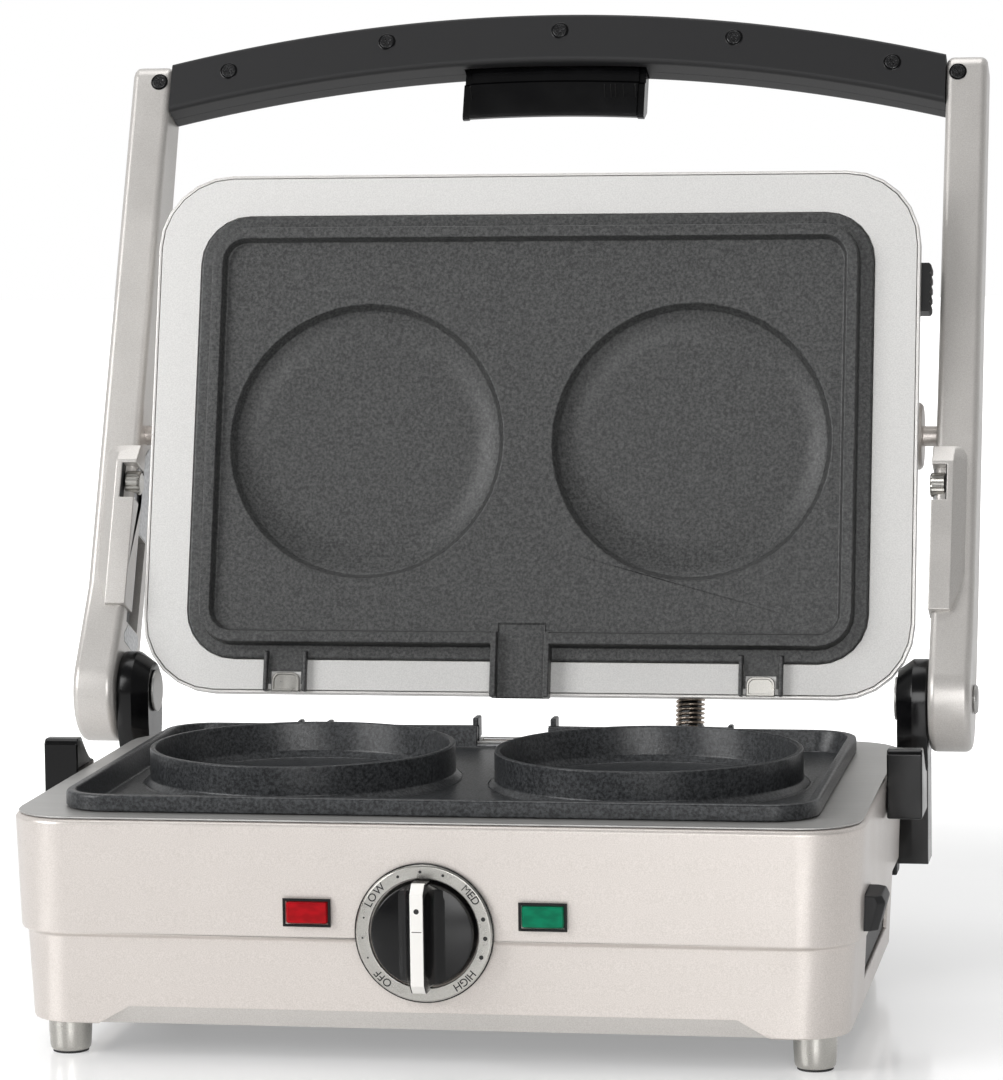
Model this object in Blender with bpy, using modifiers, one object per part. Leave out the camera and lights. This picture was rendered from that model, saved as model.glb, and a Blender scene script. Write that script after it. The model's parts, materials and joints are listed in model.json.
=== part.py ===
"""Electric twin-pancake grill, open, as an assembly of its real pieces (metres, +Z up, front towards -Y).

The base is modelled in a frame whose Y = 0 is the housing's front face. Everything on the arms is modelled
closed, about the hinge axis, and hangs from an empty that swings it open. The cover hangs from a second
empty on its side pivots, so that it can tip to follow thick batter.
"""

import math

import bmesh
import bpy
from mathutils import Matrix, Vector

FIT = 0.0003  # gap left between touching pieces
OVERRUN = 0.004  # how far a cutter runs past what it cuts
CORNER_STEPS = 6
ROUND_STEPS = 32
SMALL_STEPS = 16
MERGE = 0.00001

# Housing
BASE_HALF_WIDTH = 0.171
BASE_DEPTH = 0.229
BASE_CORNER = 0.026
HOUSING_TOP = 0.0983
HOUSING_STEP = 0.0521
HOUSING_BOTTOM = 0.0151
HOUSING_WALL = 0.002
HOUSING_EDGE = 0.0015
UPPER_DRAFT = 0.0016
BAND_STEP = 0.0025
LOWER_DRAFT = 0.0018
TOP_FLANGE = 0.0135
BOTTOM_FLANGE = 0.008
SKIRT_GAP_RISE = 0.0076
SKIRT_GAP_TOP = HOUSING_BOTTOM + SKIRT_GAP_RISE
SKIRT_SIDE = 0.049
SKIRT_GAP_HALF = BASE_HALF_WIDTH - SKIRT_SIDE
SKIRT_GAP_SLOPE = 0.014
SKIRT_RAMP_DEPTH = 0.013
TUB_FLOOR = 0.0015
RAIL_WIDTH = 0.006
RAIL_INSET = 0.006

# Deck and its opening for the lower plate
DECK_THICKNESS = 0.0006
DECK_INSET = 0.0013
DECK_TOP = HOUSING_TOP + FIT + DECK_THICKNESS
DRAIN_HALF = 0.015
DRAIN_BACK = 0.0035
DRAIN_DEPTH = 0.010
DRAIN_FRONT = BASE_DEPTH - DRAIN_BACK - DRAIN_DEPTH
DRAIN_REAR = BASE_DEPTH - DRAIN_BACK

# Lower plate with its two pans
PLATE_SIDE = 0.0188
PLATE_HALF_WIDTH = BASE_HALF_WIDTH - PLATE_SIDE
PLATE_FRONT = 0.0138
PLATE_BACK = 0.0136
PLATE_REAR = BASE_DEPTH - PLATE_BACK
PLATE_CORNER = 0.020
PLATE_RIM_HEIGHT = 0.0066
PLATE_RIM_FLAT = 0.003
PLATE_RIM_CHAMFER = 0.0008
PLATE_WALL = 0.006
PLATE_FLOOR = 0.0035
PLATE_FIELD_DROP = 0.009
PLATE_RIM_OVERHANG = 0.0034
PAN_BACK_SHIFT = 0.0024
PAN_GAP_HALF = 0.0091
PAN_MARGIN = 0.0151
PAN_CENTRE_Y = (PLATE_FRONT + PLATE_REAR) / 2 + PAN_BACK_SHIFT
PAN_RADIUS = (PLATE_HALF_WIDTH - PAN_MARGIN - PAN_GAP_HALF) / 2
PAN_OFFSET = PAN_GAP_HALF + PAN_RADIUS
PAN_WALL = 0.0022
PAN_RISE = 0.006
PAN_FILLET = 0.0028
PAN_DRAFT = 0.0022
SPOUT_OUTER = 0.0185
SPOUT_INNER = 0.016
SPOUT_RISE = 0.003
LUG_SIDE = 0.0632
LUG_PLACE = PLATE_HALF_WIDTH - LUG_SIDE
LUG_GAP = 0.011
LUG_RIB = 0.0022
LUG_RISE = 0.0012
LUG_BACK = 0.0042

# Heating parts under the plate
REFLECTOR_DEPTH = 0.0203
REFLECTOR_FLOOR_Z = HOUSING_TOP - REFLECTOR_DEPTH
REFLECTOR_SHEET = 0.0008
ELEMENT_RADIUS = 0.0033
ELEMENT_DEPTH = 0.0115
ELEMENT_Z = HOUSING_TOP - ELEMENT_DEPTH
ELEMENT_MARGIN = 0.022
ELEMENT_BEND = 0.022
ELEMENT_TAIL = 0.012
ELEMENT_LEGS = 0.018

# Dial, lamps and thermostat
DIAL_Z = 0.0558
DIAL_RADIUS = 0.0274
DIAL_HOLE = 0.0219
DIAL_PROUD = 0.0022
DIAL_CHAMFER = 0.0008
KNOB_DISC_PROUD = 0.0016
KNOB_GRIP_WIDTH = 0.0115
KNOB_GRIP_PROUD = 0.0168
KNOB_GRIP_ROUND = 0.003
KNOB_STRIP_WIDTH = 0.005
KNOB_STRIP_THICK = 0.0009
SHAFT_RADIUS = 0.003
THERMOSTAT_WIDTH = 0.032
THERMOSTAT_HEIGHT = 0.026
THERMOSTAT_DEPTH = 0.018
THERMOSTAT_BORE_DEPTH = 0.010
LAMP_OFFSET = 0.047
LAMP_Z = 0.0629
LAMP_WIDTH = 0.0165
LAMP_HEIGHT = 0.0085
LAMP_BEZEL = 0.0011
LAMP_PROUD = 0.0007
LENS_PROUD = 0.0013
LENS_DEPTH = 0.006
LENS_EDGE = 0.0008

# Feet
FOOT_SIDE = 0.0203
FOOT_OFFSET = BASE_HALF_WIDTH - FOOT_SIDE
FOOT_FRONT = 0.0243
FOOT_BACK = 0.022
FOOT_REAR = BASE_DEPTH - FOOT_BACK
FOOT_RADIUS = 0.00875
FOOT_TAPER = 0.0012
PAD_RADIUS = 0.0072
PAD_HEIGHT = 0.003

# Drip tray
TRAY_FRONT = 0.076
TRAY_BACK = 0.045
TRAY_REAR = BASE_DEPTH - TRAY_BACK
TRAY_LOW = 0.0257
TRAY_HIGH = 0.0423
TRAY_SPARE = 0.042
TRAY_LENGTH = 2 * BASE_HALF_WIDTH - TRAY_SPARE
TRAY_WALL = 0.0012
TRAY_PULL_SUNK = 0.007
TRAY_PULL_FACE = BASE_HALF_WIDTH - TRAY_PULL_SUNK
TRAY_PULL_THICK = 0.0025
TRAY_MARGIN = 0.0025
TRAY_RIM_DROP = 0.0015
PULL_LIP = 0.003
PULL_LIP_DEPTH = 0.0035
CHUTE_SHEET = 0.0010
CHUTE_ELBOW_DROP = 0.0238
CHUTE_ELBOW_Z = HOUSING_TOP - CHUTE_ELBOW_DROP
CHUTE_OVER_TRAY = 0.014
CHUTE_MOUTH_Y = TRAY_REAR - CHUTE_OVER_TRAY
CHUTE_MOUTH_GAP = 0.0045

# Release button of the lower plate
LOWER_BUTTON_FRONT = 0.029
LOWER_BUTTON_REAR = 0.056
LOWER_BUTTON_LOW = 0.054
LOWER_BUTTON_HIGH = 0.068
LOWER_BUTTON_PROUD = 0.008
LOWER_BUTTON_CHAMFER = 0.003
LOWER_BUTTON_STEM = 0.016
BUTTON_FLANGE = 0.002
BUTTON_TRAVEL = 0.003

# Hinge
HINGE_BEHIND = 0.0078
HINGE_Y = BASE_DEPTH + HINGE_BEHIND
COVER_CENTRE = 0.0022
PIVOT_REACH = HINGE_Y - (PLATE_FRONT + PLATE_REAR) / 2 - COVER_CENTRE
HINGE_ABOVE = 0.0186
HINGE_Z = HOUSING_TOP + HINGE_ABOVE
DRUM_RADIUS = 0.0175
DRUM_CLEARANCE = 0.0023
DRUM_LENGTH = 0.0073
DRUM_INNER = BASE_HALF_WIDTH + DRUM_CLEARANCE
DRUM_OUTER = DRUM_INNER + DRUM_LENGTH
CONE_RADIUS = 0.011
CONE_SUNK = 0.004
CONE_INNER = BASE_HALF_WIDTH - CONE_SUNK
BOLT_RADIUS = 0.005
BOLT_CAP_RADIUS = 0.0065
BOLT_CAP = 0.0018
BOLT_DISC_RADIUS = 0.0095
BOLT_DISC = 0.0014
PEDESTAL_LAP = 0.0045
PEDESTAL_DEPTH = 0.0215
PEDESTAL_FRONT = BASE_DEPTH - PEDESTAL_LAP
PEDESTAL_REAR = PEDESTAL_FRONT + PEDESTAL_DEPTH
PEDESTAL_LOW = 0.046
REAR_COVER_DEPTH = 0.0157
REAR_COVER_LOW = 0.040
REAR_COVER_DROP = 0.0213
REAR_COVER_HIGH = HOUSING_TOP - REAR_COVER_DROP
REAR_COVER_ROUND = 0.003

# Arm rests on the housing's sides
REST_REACH = 0.1181
REST_FRONT = HINGE_Y - REST_REACH
REST_DEPTH = 0.027
REST_HANG = 0.0148
REST_LOW = HOUSING_TOP - REST_HANG
REST_STAND = 0.014
REST_HIGH = HOUSING_TOP + REST_STAND
REST_WIDTH = 0.0146
REST_TOP = 0.008
REST_SEAT_RISE = 0.0017
REST_SEAT = HOUSING_TOP + REST_SEAT_RISE
REST_ROUND = 0.0018

# Conduit between base and cover
CONDUIT_X = 0.073
CONDUIT_RADIUS = 0.0066
CONDUIT_WIRE = 0.0006
CONDUIT_PITCH = 0.0020
CONDUIT_CORE_RADIUS = 0.0051
CONDUIT_BEHIND = 0.0195
CONDUIT_ENTRY_Y = BASE_DEPTH + CONDUIT_BEHIND
CONDUIT_BELOW = 0.013
CONDUIT_ENTRY_Z = REAR_COVER_HIGH - CONDUIT_BELOW
CONDUIT_SUNK = 0.008
CONDUIT_BOSS_HALF = 0.0105
CONDUIT_BOSS_REAR = 0.0105
COIL_POINTS = 8
CORE_POINTS = 24
GLAND_RADIUS = 0.0092
GLAND_HEIGHT = 0.0025
CORD_INLET_SIDE = 0.053
CORD_INLET_X = -(BASE_HALF_WIDTH - CORD_INLET_SIDE)
CORD_INLET_BELOW = 0.017
CORD_INLET_Z = REAR_COVER_HIGH - CORD_INLET_BELOW
CORD_INLET_RADIUS = 0.0085
CORD_INLET_PROUD = 0.010
CORD_BORE = 0.0036

# Arms, measured from the hinge axis along the arm and off its centre line
OPEN_ANGLE = math.radians(104.66)
ARM_RISE = math.atan(0.164)
ARM_CLEARANCE = 0.0004
ARM_INNER = DRUM_OUTER + ARM_CLEARANCE
ARM_WIDTH = 0.0185
ARM_OVERHANG = 0.0652
ARM_LENGTH = HINGE_Y + ARM_OVERHANG
ARM_FRONT = 0.012
ARM_BACK_TIP = 0.012
ARM_BACK_MID = 0.018
ARM_MID = 0.150
ARM_NECK = 0.046
ARM_BOSS = 0.021
ARM_TIP_ROUND = 0.007
ARM_EDGE = 0.0032
ARM_BOX_FROM_PIVOT = 0.0051
ARM_BOX_LENGTH = 0.0763
ARM_BOX_END = PIVOT_REACH - ARM_BOX_FROM_PIVOT
ARM_BOX_START = ARM_BOX_END - ARM_BOX_LENGTH
ARM_BOX_PROUD = 0.0055
ARM_BOX_IN = 0.0012
ARM_BOX_WIDTH = 0.0140
ARM_BOX_DEPTH = 0.017
ARM_BOX_SLOPE = 0.006
ROLLER_FROM_END = 0.0269
ROLLER_START = ARM_BOX_END - ROLLER_FROM_END
ROLLER_LENGTH = 0.015
ROLLER_RADIUS = 0.0052
ROLLER_DEPTH = 0.006

# Handle across the arms
HANDLE_FROM_TIP = 0.01725
HANDLE_END = ARM_LENGTH - HANDLE_FROM_TIP
HANDLE_BOW = 0.0227
HANDLE_HEIGHT = 0.0335
HANDLE_FRONT = 0.0125
HANDLE_BACK = 0.0115
HANDLE_SPLIT = 0.001
HANDLE_EDGE = 0.004
HANDLE_STATIONS = 16
TRIGGER_HALF = 0.0423
TRIGGER_BELOW = 0.01105
TRIGGER_LOW = HANDLE_END - TRIGGER_BELOW
TRIGGER_HEIGHT = 0.0215
TRIGGER_DEPTH = 0.0065
TRIGGER_TRAVEL = 0.004
TRIGGER_EDGE = 0.0015

# Cover, measured from its side pivots
PIVOT_RISE = 0.0209
FACE_DROP = 0.022
COVER_SIDE = 0.0025
COVER_HALF_WIDTH = BASE_HALF_WIDTH + COVER_SIDE
COVER_LAP = 0.0041
COVER_HALF_HEIGHT = BASE_DEPTH / 2 + COVER_LAP
COVER_CORNER = 0.0335
SHELL_WALL = 0.0013
SHELL_DEPTHS = (0.006, 0.020, 0.035, 0.0455, 0.048)
SHELL_INSETS = (0.0, 0.0055, 0.0155, 0.0335, 0.056)
SHELL_CORNERS = (0.0335, 0.031, 0.029, 0.028, 0.027)
TRIM_INSET = 0.0016
TRIM_HALF_WIDTH = COVER_HALF_WIDTH - TRIM_INSET
TRIM_HALF_HEIGHT = COVER_HALF_HEIGHT - TRIM_INSET
TRIM_CORNER = 0.032
TRIM_THICKNESS = 0.0014
TRIM_SEAT = 0.0057
TRIM_SIDE = 0.0187
UPPER_HALF_WIDTH = TRIM_HALF_WIDTH - TRIM_SIDE
TRIM_TOP = 0.0176
UPPER_TOP = TRIM_HALF_HEIGHT - TRIM_TOP
TRIM_BOTTOM = 0.0138
UPPER_BOTTOM = TRIM_HALF_HEIGHT - TRIM_BOTTOM
UPPER_CORNER = 0.022
UPPER_PROUD = 0.001
UPPER_EDGE = 0.0007
UPPER_FLANGE = 0.0031
RIDGE_INSET = 0.0062
RIDGE_TOP_INSET = 0.0005
RIDGE_WIDTH = 0.0050
RIDGE_HEIGHT = 0.007
RIDGE_FOOT = 0.0011
FIELD_DROP = 0.005
DISH_GAP_HALF = 0.0109
DISH_MARGIN = 0.0171
DISH_CENTRE = -0.0045
DISH_RADIUS = (UPPER_HALF_WIDTH - DISH_MARGIN - DISH_GAP_HALF) / 2
DISH_OFFSET = DISH_GAP_HALF + DISH_RADIUS
DISH_DEPTH = 0.009
DISH_FLAT = 0.046
DISH_WALL = 0.0032
UPPER_SPOUT_HALF = 0.0132
UPPER_SPOUT_INNER = 0.0105
UPPER_SPOUT_REACH = 0.0168
UPPER_SPOUT_END = UPPER_BOTTOM + UPPER_SPOUT_REACH
UPPER_SPOUT_FLOOR = 0.0025
NOTCH_SIDE = 0.0367
NOTCH_WIDTH = 0.0195
NOTCH_OUTER = UPPER_HALF_WIDTH - NOTCH_SIDE
NOTCH_INNER = NOTCH_OUTER - NOTCH_WIDTH
NOTCH_RIB = 0.0018
NOTCH_RIB_REACH = 0.0148
NOTCH_RIB_END = UPPER_BOTTOM + NOTCH_RIB_REACH
NOTCH_RIB_PROUD = 0.003
HOOK_INNER_GAP = 0.003
HOOK_INNER = NOTCH_INNER + HOOK_INNER_GAP
HOOK_OUTER_GAP = 0.0035
HOOK_OUTER = NOTCH_OUTER - HOOK_OUTER_GAP
HOOK_BELOW = 0.0058
HOOK_START = UPPER_BOTTOM + HOOK_BELOW
HOOK_LENGTH = 0.0075
HOOK_END = HOOK_START + HOOK_LENGTH
HOOK_PROUD = 0.0026
UPPER_REFLECTOR_DEPTH = 0.0185
UPPER_ELEMENT_DEPTH = 0.0138
BOSS_RADIUS = 0.015
BOSS_PROUD = 0.0009
BOSS_FACE = COVER_HALF_WIDTH + BOSS_PROUD
BOSS_SUNK = 0.016
BOSS_EDGE = 0.0012
PIN_RADIUS = 0.0045
PIN_IN_ARM = 0.009
UPPER_BUTTON_LOW = 0.057
UPPER_BUTTON_HIGH = 0.079
UPPER_BUTTON_DEPTH = 0.018
UPPER_BUTTON_HALF = 0.006
UPPER_BUTTON_PROUD = 0.004
UPPER_BUTTON_FACE = COVER_HALF_WIDTH + UPPER_BUTTON_PROUD
UPPER_BUTTON_STEM = 0.0152
RIB_COUNT = 5
RIB_GROOVE = 0.0010

FINISHES = {
    "champagne_paint": ((0.72, 0.67, 0.64), 0.32, 0.0),
    "satin_steel": ((0.62, 0.62, 0.61), 0.34, 1.0),
    "brushed_aluminium": ((0.78, 0.78, 0.79), 0.38, 0.9),
    "nonstick": ((0.075, 0.075, 0.078), 0.42, 0.1),
    "black_plastic": ((0.012, 0.012, 0.013), 0.25, 0.0),
    "charcoal_plastic": ((0.040, 0.040, 0.044), 0.38, 0.0),
    "chrome": ((0.80, 0.80, 0.81), 0.10, 1.0),
    "dark_steel": ((0.17, 0.15, 0.13), 0.35, 0.9),
    "zinc_sheet": ((0.52, 0.53, 0.54), 0.40, 0.9),
    "rubber": ((0.03, 0.03, 0.03), 0.80, 0.0),
    "red_lens": ((0.55, 0.01, 0.01), 0.12, 0.0),
    "green_lens": ((0.02, 0.35, 0.08), 0.12, 0.0),
}


def clear_scene():
    for obj in list(bpy.data.objects):
        bpy.data.objects.remove(obj, do_unlink=True)


def collection(name):
    made = bpy.data.collections.new(name)
    bpy.context.scene.collection.children.link(made)
    return made


def finish(name):
    if name in bpy.data.materials:
        return bpy.data.materials[name]
    colour, roughness, metallic = FINISHES[name]
    made = bpy.data.materials.new(name)
    made.use_nodes = True
    shader = made.node_tree.nodes["Principled BSDF"]
    shader.inputs["Base Color"].default_value = (*colour, 1.0)
    shader.inputs["Roughness"].default_value = roughness
    shader.inputs["Metallic"].default_value = metallic
    return made


def empty(name, location, parent=None, turn_x=0.0):
    made = bpy.data.objects.new(name, None)
    made.location = location
    made.rotation_euler.x = turn_x
    made.parent = parent
    PARTS.objects.link(made)
    return made


def solid(name, mesh, material, parent):
    """An object for one piece, or a hidden helper where material is None."""
    made = bpy.data.objects.new(name, mesh)
    made.parent = parent
    if material is None:
        CUTTERS.objects.link(made)
        made.hide_render = True
        made.display_type = "WIRE"
    else:
        PARTS.objects.link(made)
        mesh.materials.append(finish(material))
    return made


def mesh_of(name, bm, smooth=False):
    bmesh.ops.recalc_face_normals(bm, faces=bm.faces)
    mesh = bpy.data.meshes.new(name)
    bm.to_mesh(mesh)
    bm.free()
    if smooth:
        mesh.shade_smooth()
        mesh.set_sharp_from_angle(angle=math.radians(32))
    return mesh


def loft(name, rings, material, parent, closed=False, smooth=True):
    """A skin over rings of equally many points, capped at both ends or joined end to end."""
    bm = bmesh.new()
    loops = [[bm.verts.new(point) for point in ring] for ring in rings]
    count = len(loops[0])
    pairs = list(zip(loops, loops[1:]))
    if closed:
        pairs.append((loops[-1], loops[0]))
    for low, high in pairs:
        for i in range(count):
            j = (i + 1) % count
            bm.faces.new((low[i], low[j], high[j], high[i]))
    if not closed:
        bm.faces.new(loops[0])
        bm.faces.new(loops[-1])
    return solid(name, mesh_of(name, bm, smooth), material, parent)


def arc(centre, radius, start, end, steps):
    """Points of an arc in a plane, both ends included."""
    points = []
    for i in range(steps + 1):
        angle = start + (end - start) * i / steps
        points.append((centre[0] + radius * math.cos(angle), centre[1] + radius * math.sin(angle)))
    return points


def rounded_ring(half_x, y_min, y_max, radius, z):
    """A rounded rectangle at height z, centred on X."""
    quarter = math.pi / 2
    corners = (
        (half_x - radius, y_max - radius),
        (radius - half_x, y_max - radius),
        (radius - half_x, y_min + radius),
        (half_x - radius, y_min + radius),
    )
    points = []
    for i, corner in enumerate(corners):
        points += arc(corner, radius, i * quarter, (i + 1) * quarter, CORNER_STEPS)
    return [(x, y, z) for x, y in points]


def inset_rings(half_x, y_min, y_max, radius, profile):
    """Rings of a rounded rectangle for a profile of (inset, height)."""
    rings = []
    for inset, z in profile:
        corner = max(radius - inset, radius / 4)
        rings.append(rounded_ring(half_x - inset, y_min + inset, y_max - inset, corner, z))
    return rings


def prism(name, outline, low, high, axis, material, parent, smooth=True):
    """An outline extruded along X, Y or Z: its two coordinates are the other two axes in order."""

    def place(point, at):
        coords = list(point)
        coords.insert("XYZ".index(axis), at)
        return coords

    rings = [[place(point, at) for point in outline] for at in (low, high)]
    return loft(name, rings, material, parent, smooth=smooth)


def box(name, low, high, material, parent):
    bm = bmesh.new()
    size = Vector(high) - Vector(low)
    centre = (Vector(high) + Vector(low)) / 2
    bmesh.ops.create_cube(bm, size=1.0, matrix=Matrix.Translation(centre) @ Matrix.Diagonal((*size, 1.0)))
    return solid(name, mesh_of(name, bm), material, parent)


def turned(name, profile, material, parent, location=(0, 0, 0), axis="Z", ring=False, steps=ROUND_STEPS):
    """A profile of (radius, height), down the outer side from the top, turned about its axis."""
    bm = bmesh.new()
    points = [bm.verts.new((radius, 0, height)) for radius, height in profile]
    for a, b in zip(points, points[1:]):
        bm.edges.new((a, b))
    if ring:
        bm.edges.new((points[-1], points[0]))
    mesh = bpy.data.meshes.new(name)
    bm.to_mesh(mesh)
    bm.free()
    made = solid(name, mesh, material, parent)
    made.location = location
    made.rotation_euler = {"X": (0, math.pi / 2, 0), "Y": (math.pi / 2, 0, 0), "Z": (0, 0, 0)}[axis]
    screw = made.modifiers.new("turn", "SCREW")
    screw.angle = 2 * math.pi
    screw.steps = steps
    screw.render_steps = steps
    screw.use_merge_vertices = True
    screw.merge_threshold = MERGE
    screw.use_smooth_shade = True
    return made


def mirrored(points):
    """A profile for an X side: the same heights, told from the other side, still from the top down."""
    return [(radius, -height) for radius, height in reversed(points)]


def apply_boolean(target, other, operation):
    modifier = target.modifiers.new(other.name, "BOOLEAN")
    modifier.operation = operation
    modifier.object = other
    modifier.solver = "EXACT"


def cut(target, other):
    apply_boolean(target, other, "DIFFERENCE")


def join(target, other):
    apply_boolean(target, other, "UNION")


def bevel(target, width, segments=2):
    modifier = target.modifiers.new("edges", "BEVEL")
    modifier.width = width
    modifier.segments = segments
    modifier.limit_method = "ANGLE"
    modifier.angle_limit = math.radians(40)


def tube(name, points, radius, material, parent, resolution=1):
    """A wire or pipe along a list of points."""
    curve = bpy.data.curves.new(name, "CURVE")
    curve.dimensions = "3D"
    curve.bevel_depth = radius
    curve.bevel_resolution = resolution
    curve.use_fill_caps = True
    spline = curve.splines.new("POLY")
    spline.points.add(len(points) - 1)
    for spot, point in zip(spline.points, points):
        spot.co = (*point, 1)
    curve.materials.append(finish(material))
    made = bpy.data.objects.new(name, curve)
    made.parent = parent
    PARTS.objects.link(made)
    return made


def sides():
    return (("left", -1), ("right", 1))


def span(side, inner, outer):
    """The low and high X of something between two distances from the middle, on one side."""
    return (inner, outer) if side > 0 else (-outer, -inner)


def swing(y, z, angle):
    """A point of the hinge's Y-Z plane turned about the hinge."""
    return y * math.cos(angle) - z * math.sin(angle), y * math.sin(angle) + z * math.cos(angle)


def along_arm(s, ahead):
    """(y, z) about the hinge, closed: s along the arm and ahead of its centre line."""
    y = -s * math.cos(ARM_RISE) - ahead * math.sin(ARM_RISE)
    z = s * math.sin(ARM_RISE) - ahead * math.cos(ARM_RISE)
    return y, z


def handle_centre(x):
    """How far along the arms the bowed handle's middle line lies."""
    return HANDLE_END + HANDLE_BOW * (1 - (x / ARM_INNER) ** 2)


def front_shift():
    """Centres the open grill's box, from the knob to the handle's back, on Y."""
    y, z = along_arm(handle_centre(0) + HANDLE_HEIGHT / 2, -HANDLE_BACK)
    rear = HINGE_Y + swing(y, z, -OPEN_ANGLE)[0]
    return (KNOB_GRIP_PROUD - rear) / 2


def cover_y(v):
    return COVER_CENTRE - v


def cover_z(depth):
    return depth - FACE_DROP


def cover_ring(half_x, v_low, v_high, radius, depth):
    return rounded_ring(half_x, cover_y(v_high), cover_y(v_low), radius, cover_z(depth))


def housing_inset(z):
    """How far the housing's outer face lies inside its top outline at height z."""
    if z >= HOUSING_STEP:
        return UPPER_DRAFT * (HOUSING_TOP - z) / (HOUSING_TOP - HOUSING_STEP)
    drop = (HOUSING_STEP - z) / (HOUSING_STEP - HOUSING_BOTTOM)
    return UPPER_DRAFT + BAND_STEP + LOWER_DRAFT * drop


def skirt_gap(name, parent):
    """The wedge cut out of the skirt's front, which leaves a sloped face behind it."""
    low = HOUSING_BOTTOM - OVERRUN
    wide = SKIRT_GAP_HALF + SKIRT_GAP_SLOPE
    rings = []
    for y, top in ((-OVERRUN, SKIRT_GAP_TOP), (SKIRT_RAMP_DEPTH, HOUSING_BOTTOM - FIT)):
        rings.append([(-wide, y, low), (wide, y, low), (SKIRT_GAP_HALF, y, top), (-SKIRT_GAP_HALF, y, top)])
    return loft(name, rings, None, parent)


def make_housing(base):
    step = UPPER_DRAFT + BAND_STEP
    foot = step + LOWER_DRAFT
    profile = (
        (foot, HOUSING_BOTTOM),
        (step, HOUSING_STEP - BAND_STEP / 2),
        (UPPER_DRAFT, HOUSING_STEP),
        (0, HOUSING_TOP - HOUSING_EDGE),
        (HOUSING_EDGE, HOUSING_TOP),
        (TOP_FLANGE, HOUSING_TOP),
        (TOP_FLANGE, HOUSING_TOP - HOUSING_WALL),
        (HOUSING_WALL, HOUSING_TOP - HOUSING_WALL),
        (UPPER_DRAFT + HOUSING_WALL, HOUSING_STEP),
        (step + HOUSING_WALL, HOUSING_STEP - BAND_STEP),
        (foot + HOUSING_WALL, HOUSING_BOTTOM + HOUSING_WALL),
        (foot + BOTTOM_FLANGE, HOUSING_BOTTOM + HOUSING_WALL),
        (foot + BOTTOM_FLANGE, HOUSING_BOTTOM),
    )
    rings = inset_rings(BASE_HALF_WIDTH, 0, BASE_DEPTH, BASE_CORNER, profile)
    housing = loft("base_housing", rings, "champagne_paint", base, closed=True)
    cut(housing, skirt_gap("skirt_gap_cutter", base))

    hole = SHAFT_RADIUS + FIT
    depth = HOUSING_WALL + step + OVERRUN
    profile = [(0, OVERRUN), (hole, OVERRUN), (hole, -depth), (0, -depth)]
    place = (0, 0, DIAL_Z)
    cut(housing, turned("shaft_hole_cutter", profile, None, base, place, "Y", steps=SMALL_STEPS))
    for side, sign in sides():
        half_x, half_z = LAMP_WIDTH / 2 + FIT, LAMP_HEIGHT / 2 + FIT
        low = (sign * LAMP_OFFSET - half_x, -OVERRUN, LAMP_Z - half_z)
        high = (sign * LAMP_OFFSET + half_x, LENS_DEPTH + OVERRUN, LAMP_Z + half_z)
        cut(housing, box("lamp_hole_cutter_" + side, low, high, None, base))

    outer = BASE_HALF_WIDTH + OVERRUN
    inner = BASE_HALF_WIDTH - housing_inset(TRAY_LOW) - HOUSING_WALL - OVERRUN
    low = (inner, TRAY_FRONT - FIT, TRAY_LOW - FIT)
    cut(housing, box("tray_hole_cutter", low, (outer, TRAY_REAR + FIT, TRAY_HIGH + FIT), None, base))
    low = (inner, LOWER_BUTTON_FRONT - FIT, LOWER_BUTTON_LOW - FIT)
    high = (outer, LOWER_BUTTON_REAR + FIT, LOWER_BUTTON_HIGH + FIT)
    cut(housing, box("button_hole_cutter", low, high, None, base))
    low = (-DRAIN_HALF - FIT, DRAIN_FRONT - TOP_FLANGE, HOUSING_TOP - HOUSING_WALL - OVERRUN)
    high = (DRAIN_HALF + FIT, DRAIN_REAR + FIT, HOUSING_TOP + OVERRUN)
    cut(housing, box("flange_drain_cutter", low, high, None, base))


def make_tub(base):
    """The bottom pan with the drip tray's rails and the sloped face behind the skirt's gap."""
    edge = housing_inset(HOUSING_BOTTOM) + HOUSING_WALL + FIT
    low = HOUSING_BOTTOM + HOUSING_WALL + FIT
    top = low + TUB_FLOOR
    rings = inset_rings(BASE_HALF_WIDTH, 0, BASE_DEPTH, BASE_CORNER, ((edge, low), (edge, top)))
    tub = loft("base_tub", rings, "charcoal_plastic", base)
    length = BASE_HALF_WIDTH - edge - FIT
    rear_rail = TRAY_REAR - RAIL_INSET - RAIL_WIDTH
    for name, front in (("front", TRAY_FRONT + RAIL_INSET), ("rear", rear_rail)):
        start = (-length, front, low + FIT)
        end = (length, front + RAIL_WIDTH, TRAY_LOW - FIT)
        join(tub, box("rail_" + name, start, end, None, base))
    half = SKIRT_GAP_HALF + SKIRT_GAP_SLOPE
    start = (-half, edge + FIT, low + FIT)
    end = (half, SKIRT_RAMP_DEPTH + edge, SKIRT_GAP_TOP)
    join(tub, box("ramp_block", start, end, None, base))
    cut(tub, skirt_gap("tub_gap_cutter", base))


def make_deck(base):
    edge = BASE_CORNER - DECK_INSET
    low, high = HOUSING_TOP + FIT, DECK_TOP
    hole = PLATE_RIM_OVERHANG - FIT
    hole_ring = (
        PLATE_HALF_WIDTH - hole,
        PLATE_FRONT + hole,
        PLATE_REAR - hole,
        PLATE_CORNER - hole,
    )
    outer = (BASE_HALF_WIDTH - DECK_INSET, DECK_INSET, BASE_DEPTH - DECK_INSET, edge)
    rings = [rounded_ring(*outer, low), rounded_ring(*outer, high)]
    rings += [rounded_ring(*hole_ring, high), rounded_ring(*hole_ring, low)]
    deck = loft("deck_plate", rings, "satin_steel", base, closed=True)
    start = (-DRAIN_HALF, DRAIN_FRONT, low - OVERRUN)
    cut(deck, box("deck_drain_cutter", start, (DRAIN_HALF, DRAIN_REAR, high + OVERRUN), None, base))


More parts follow.
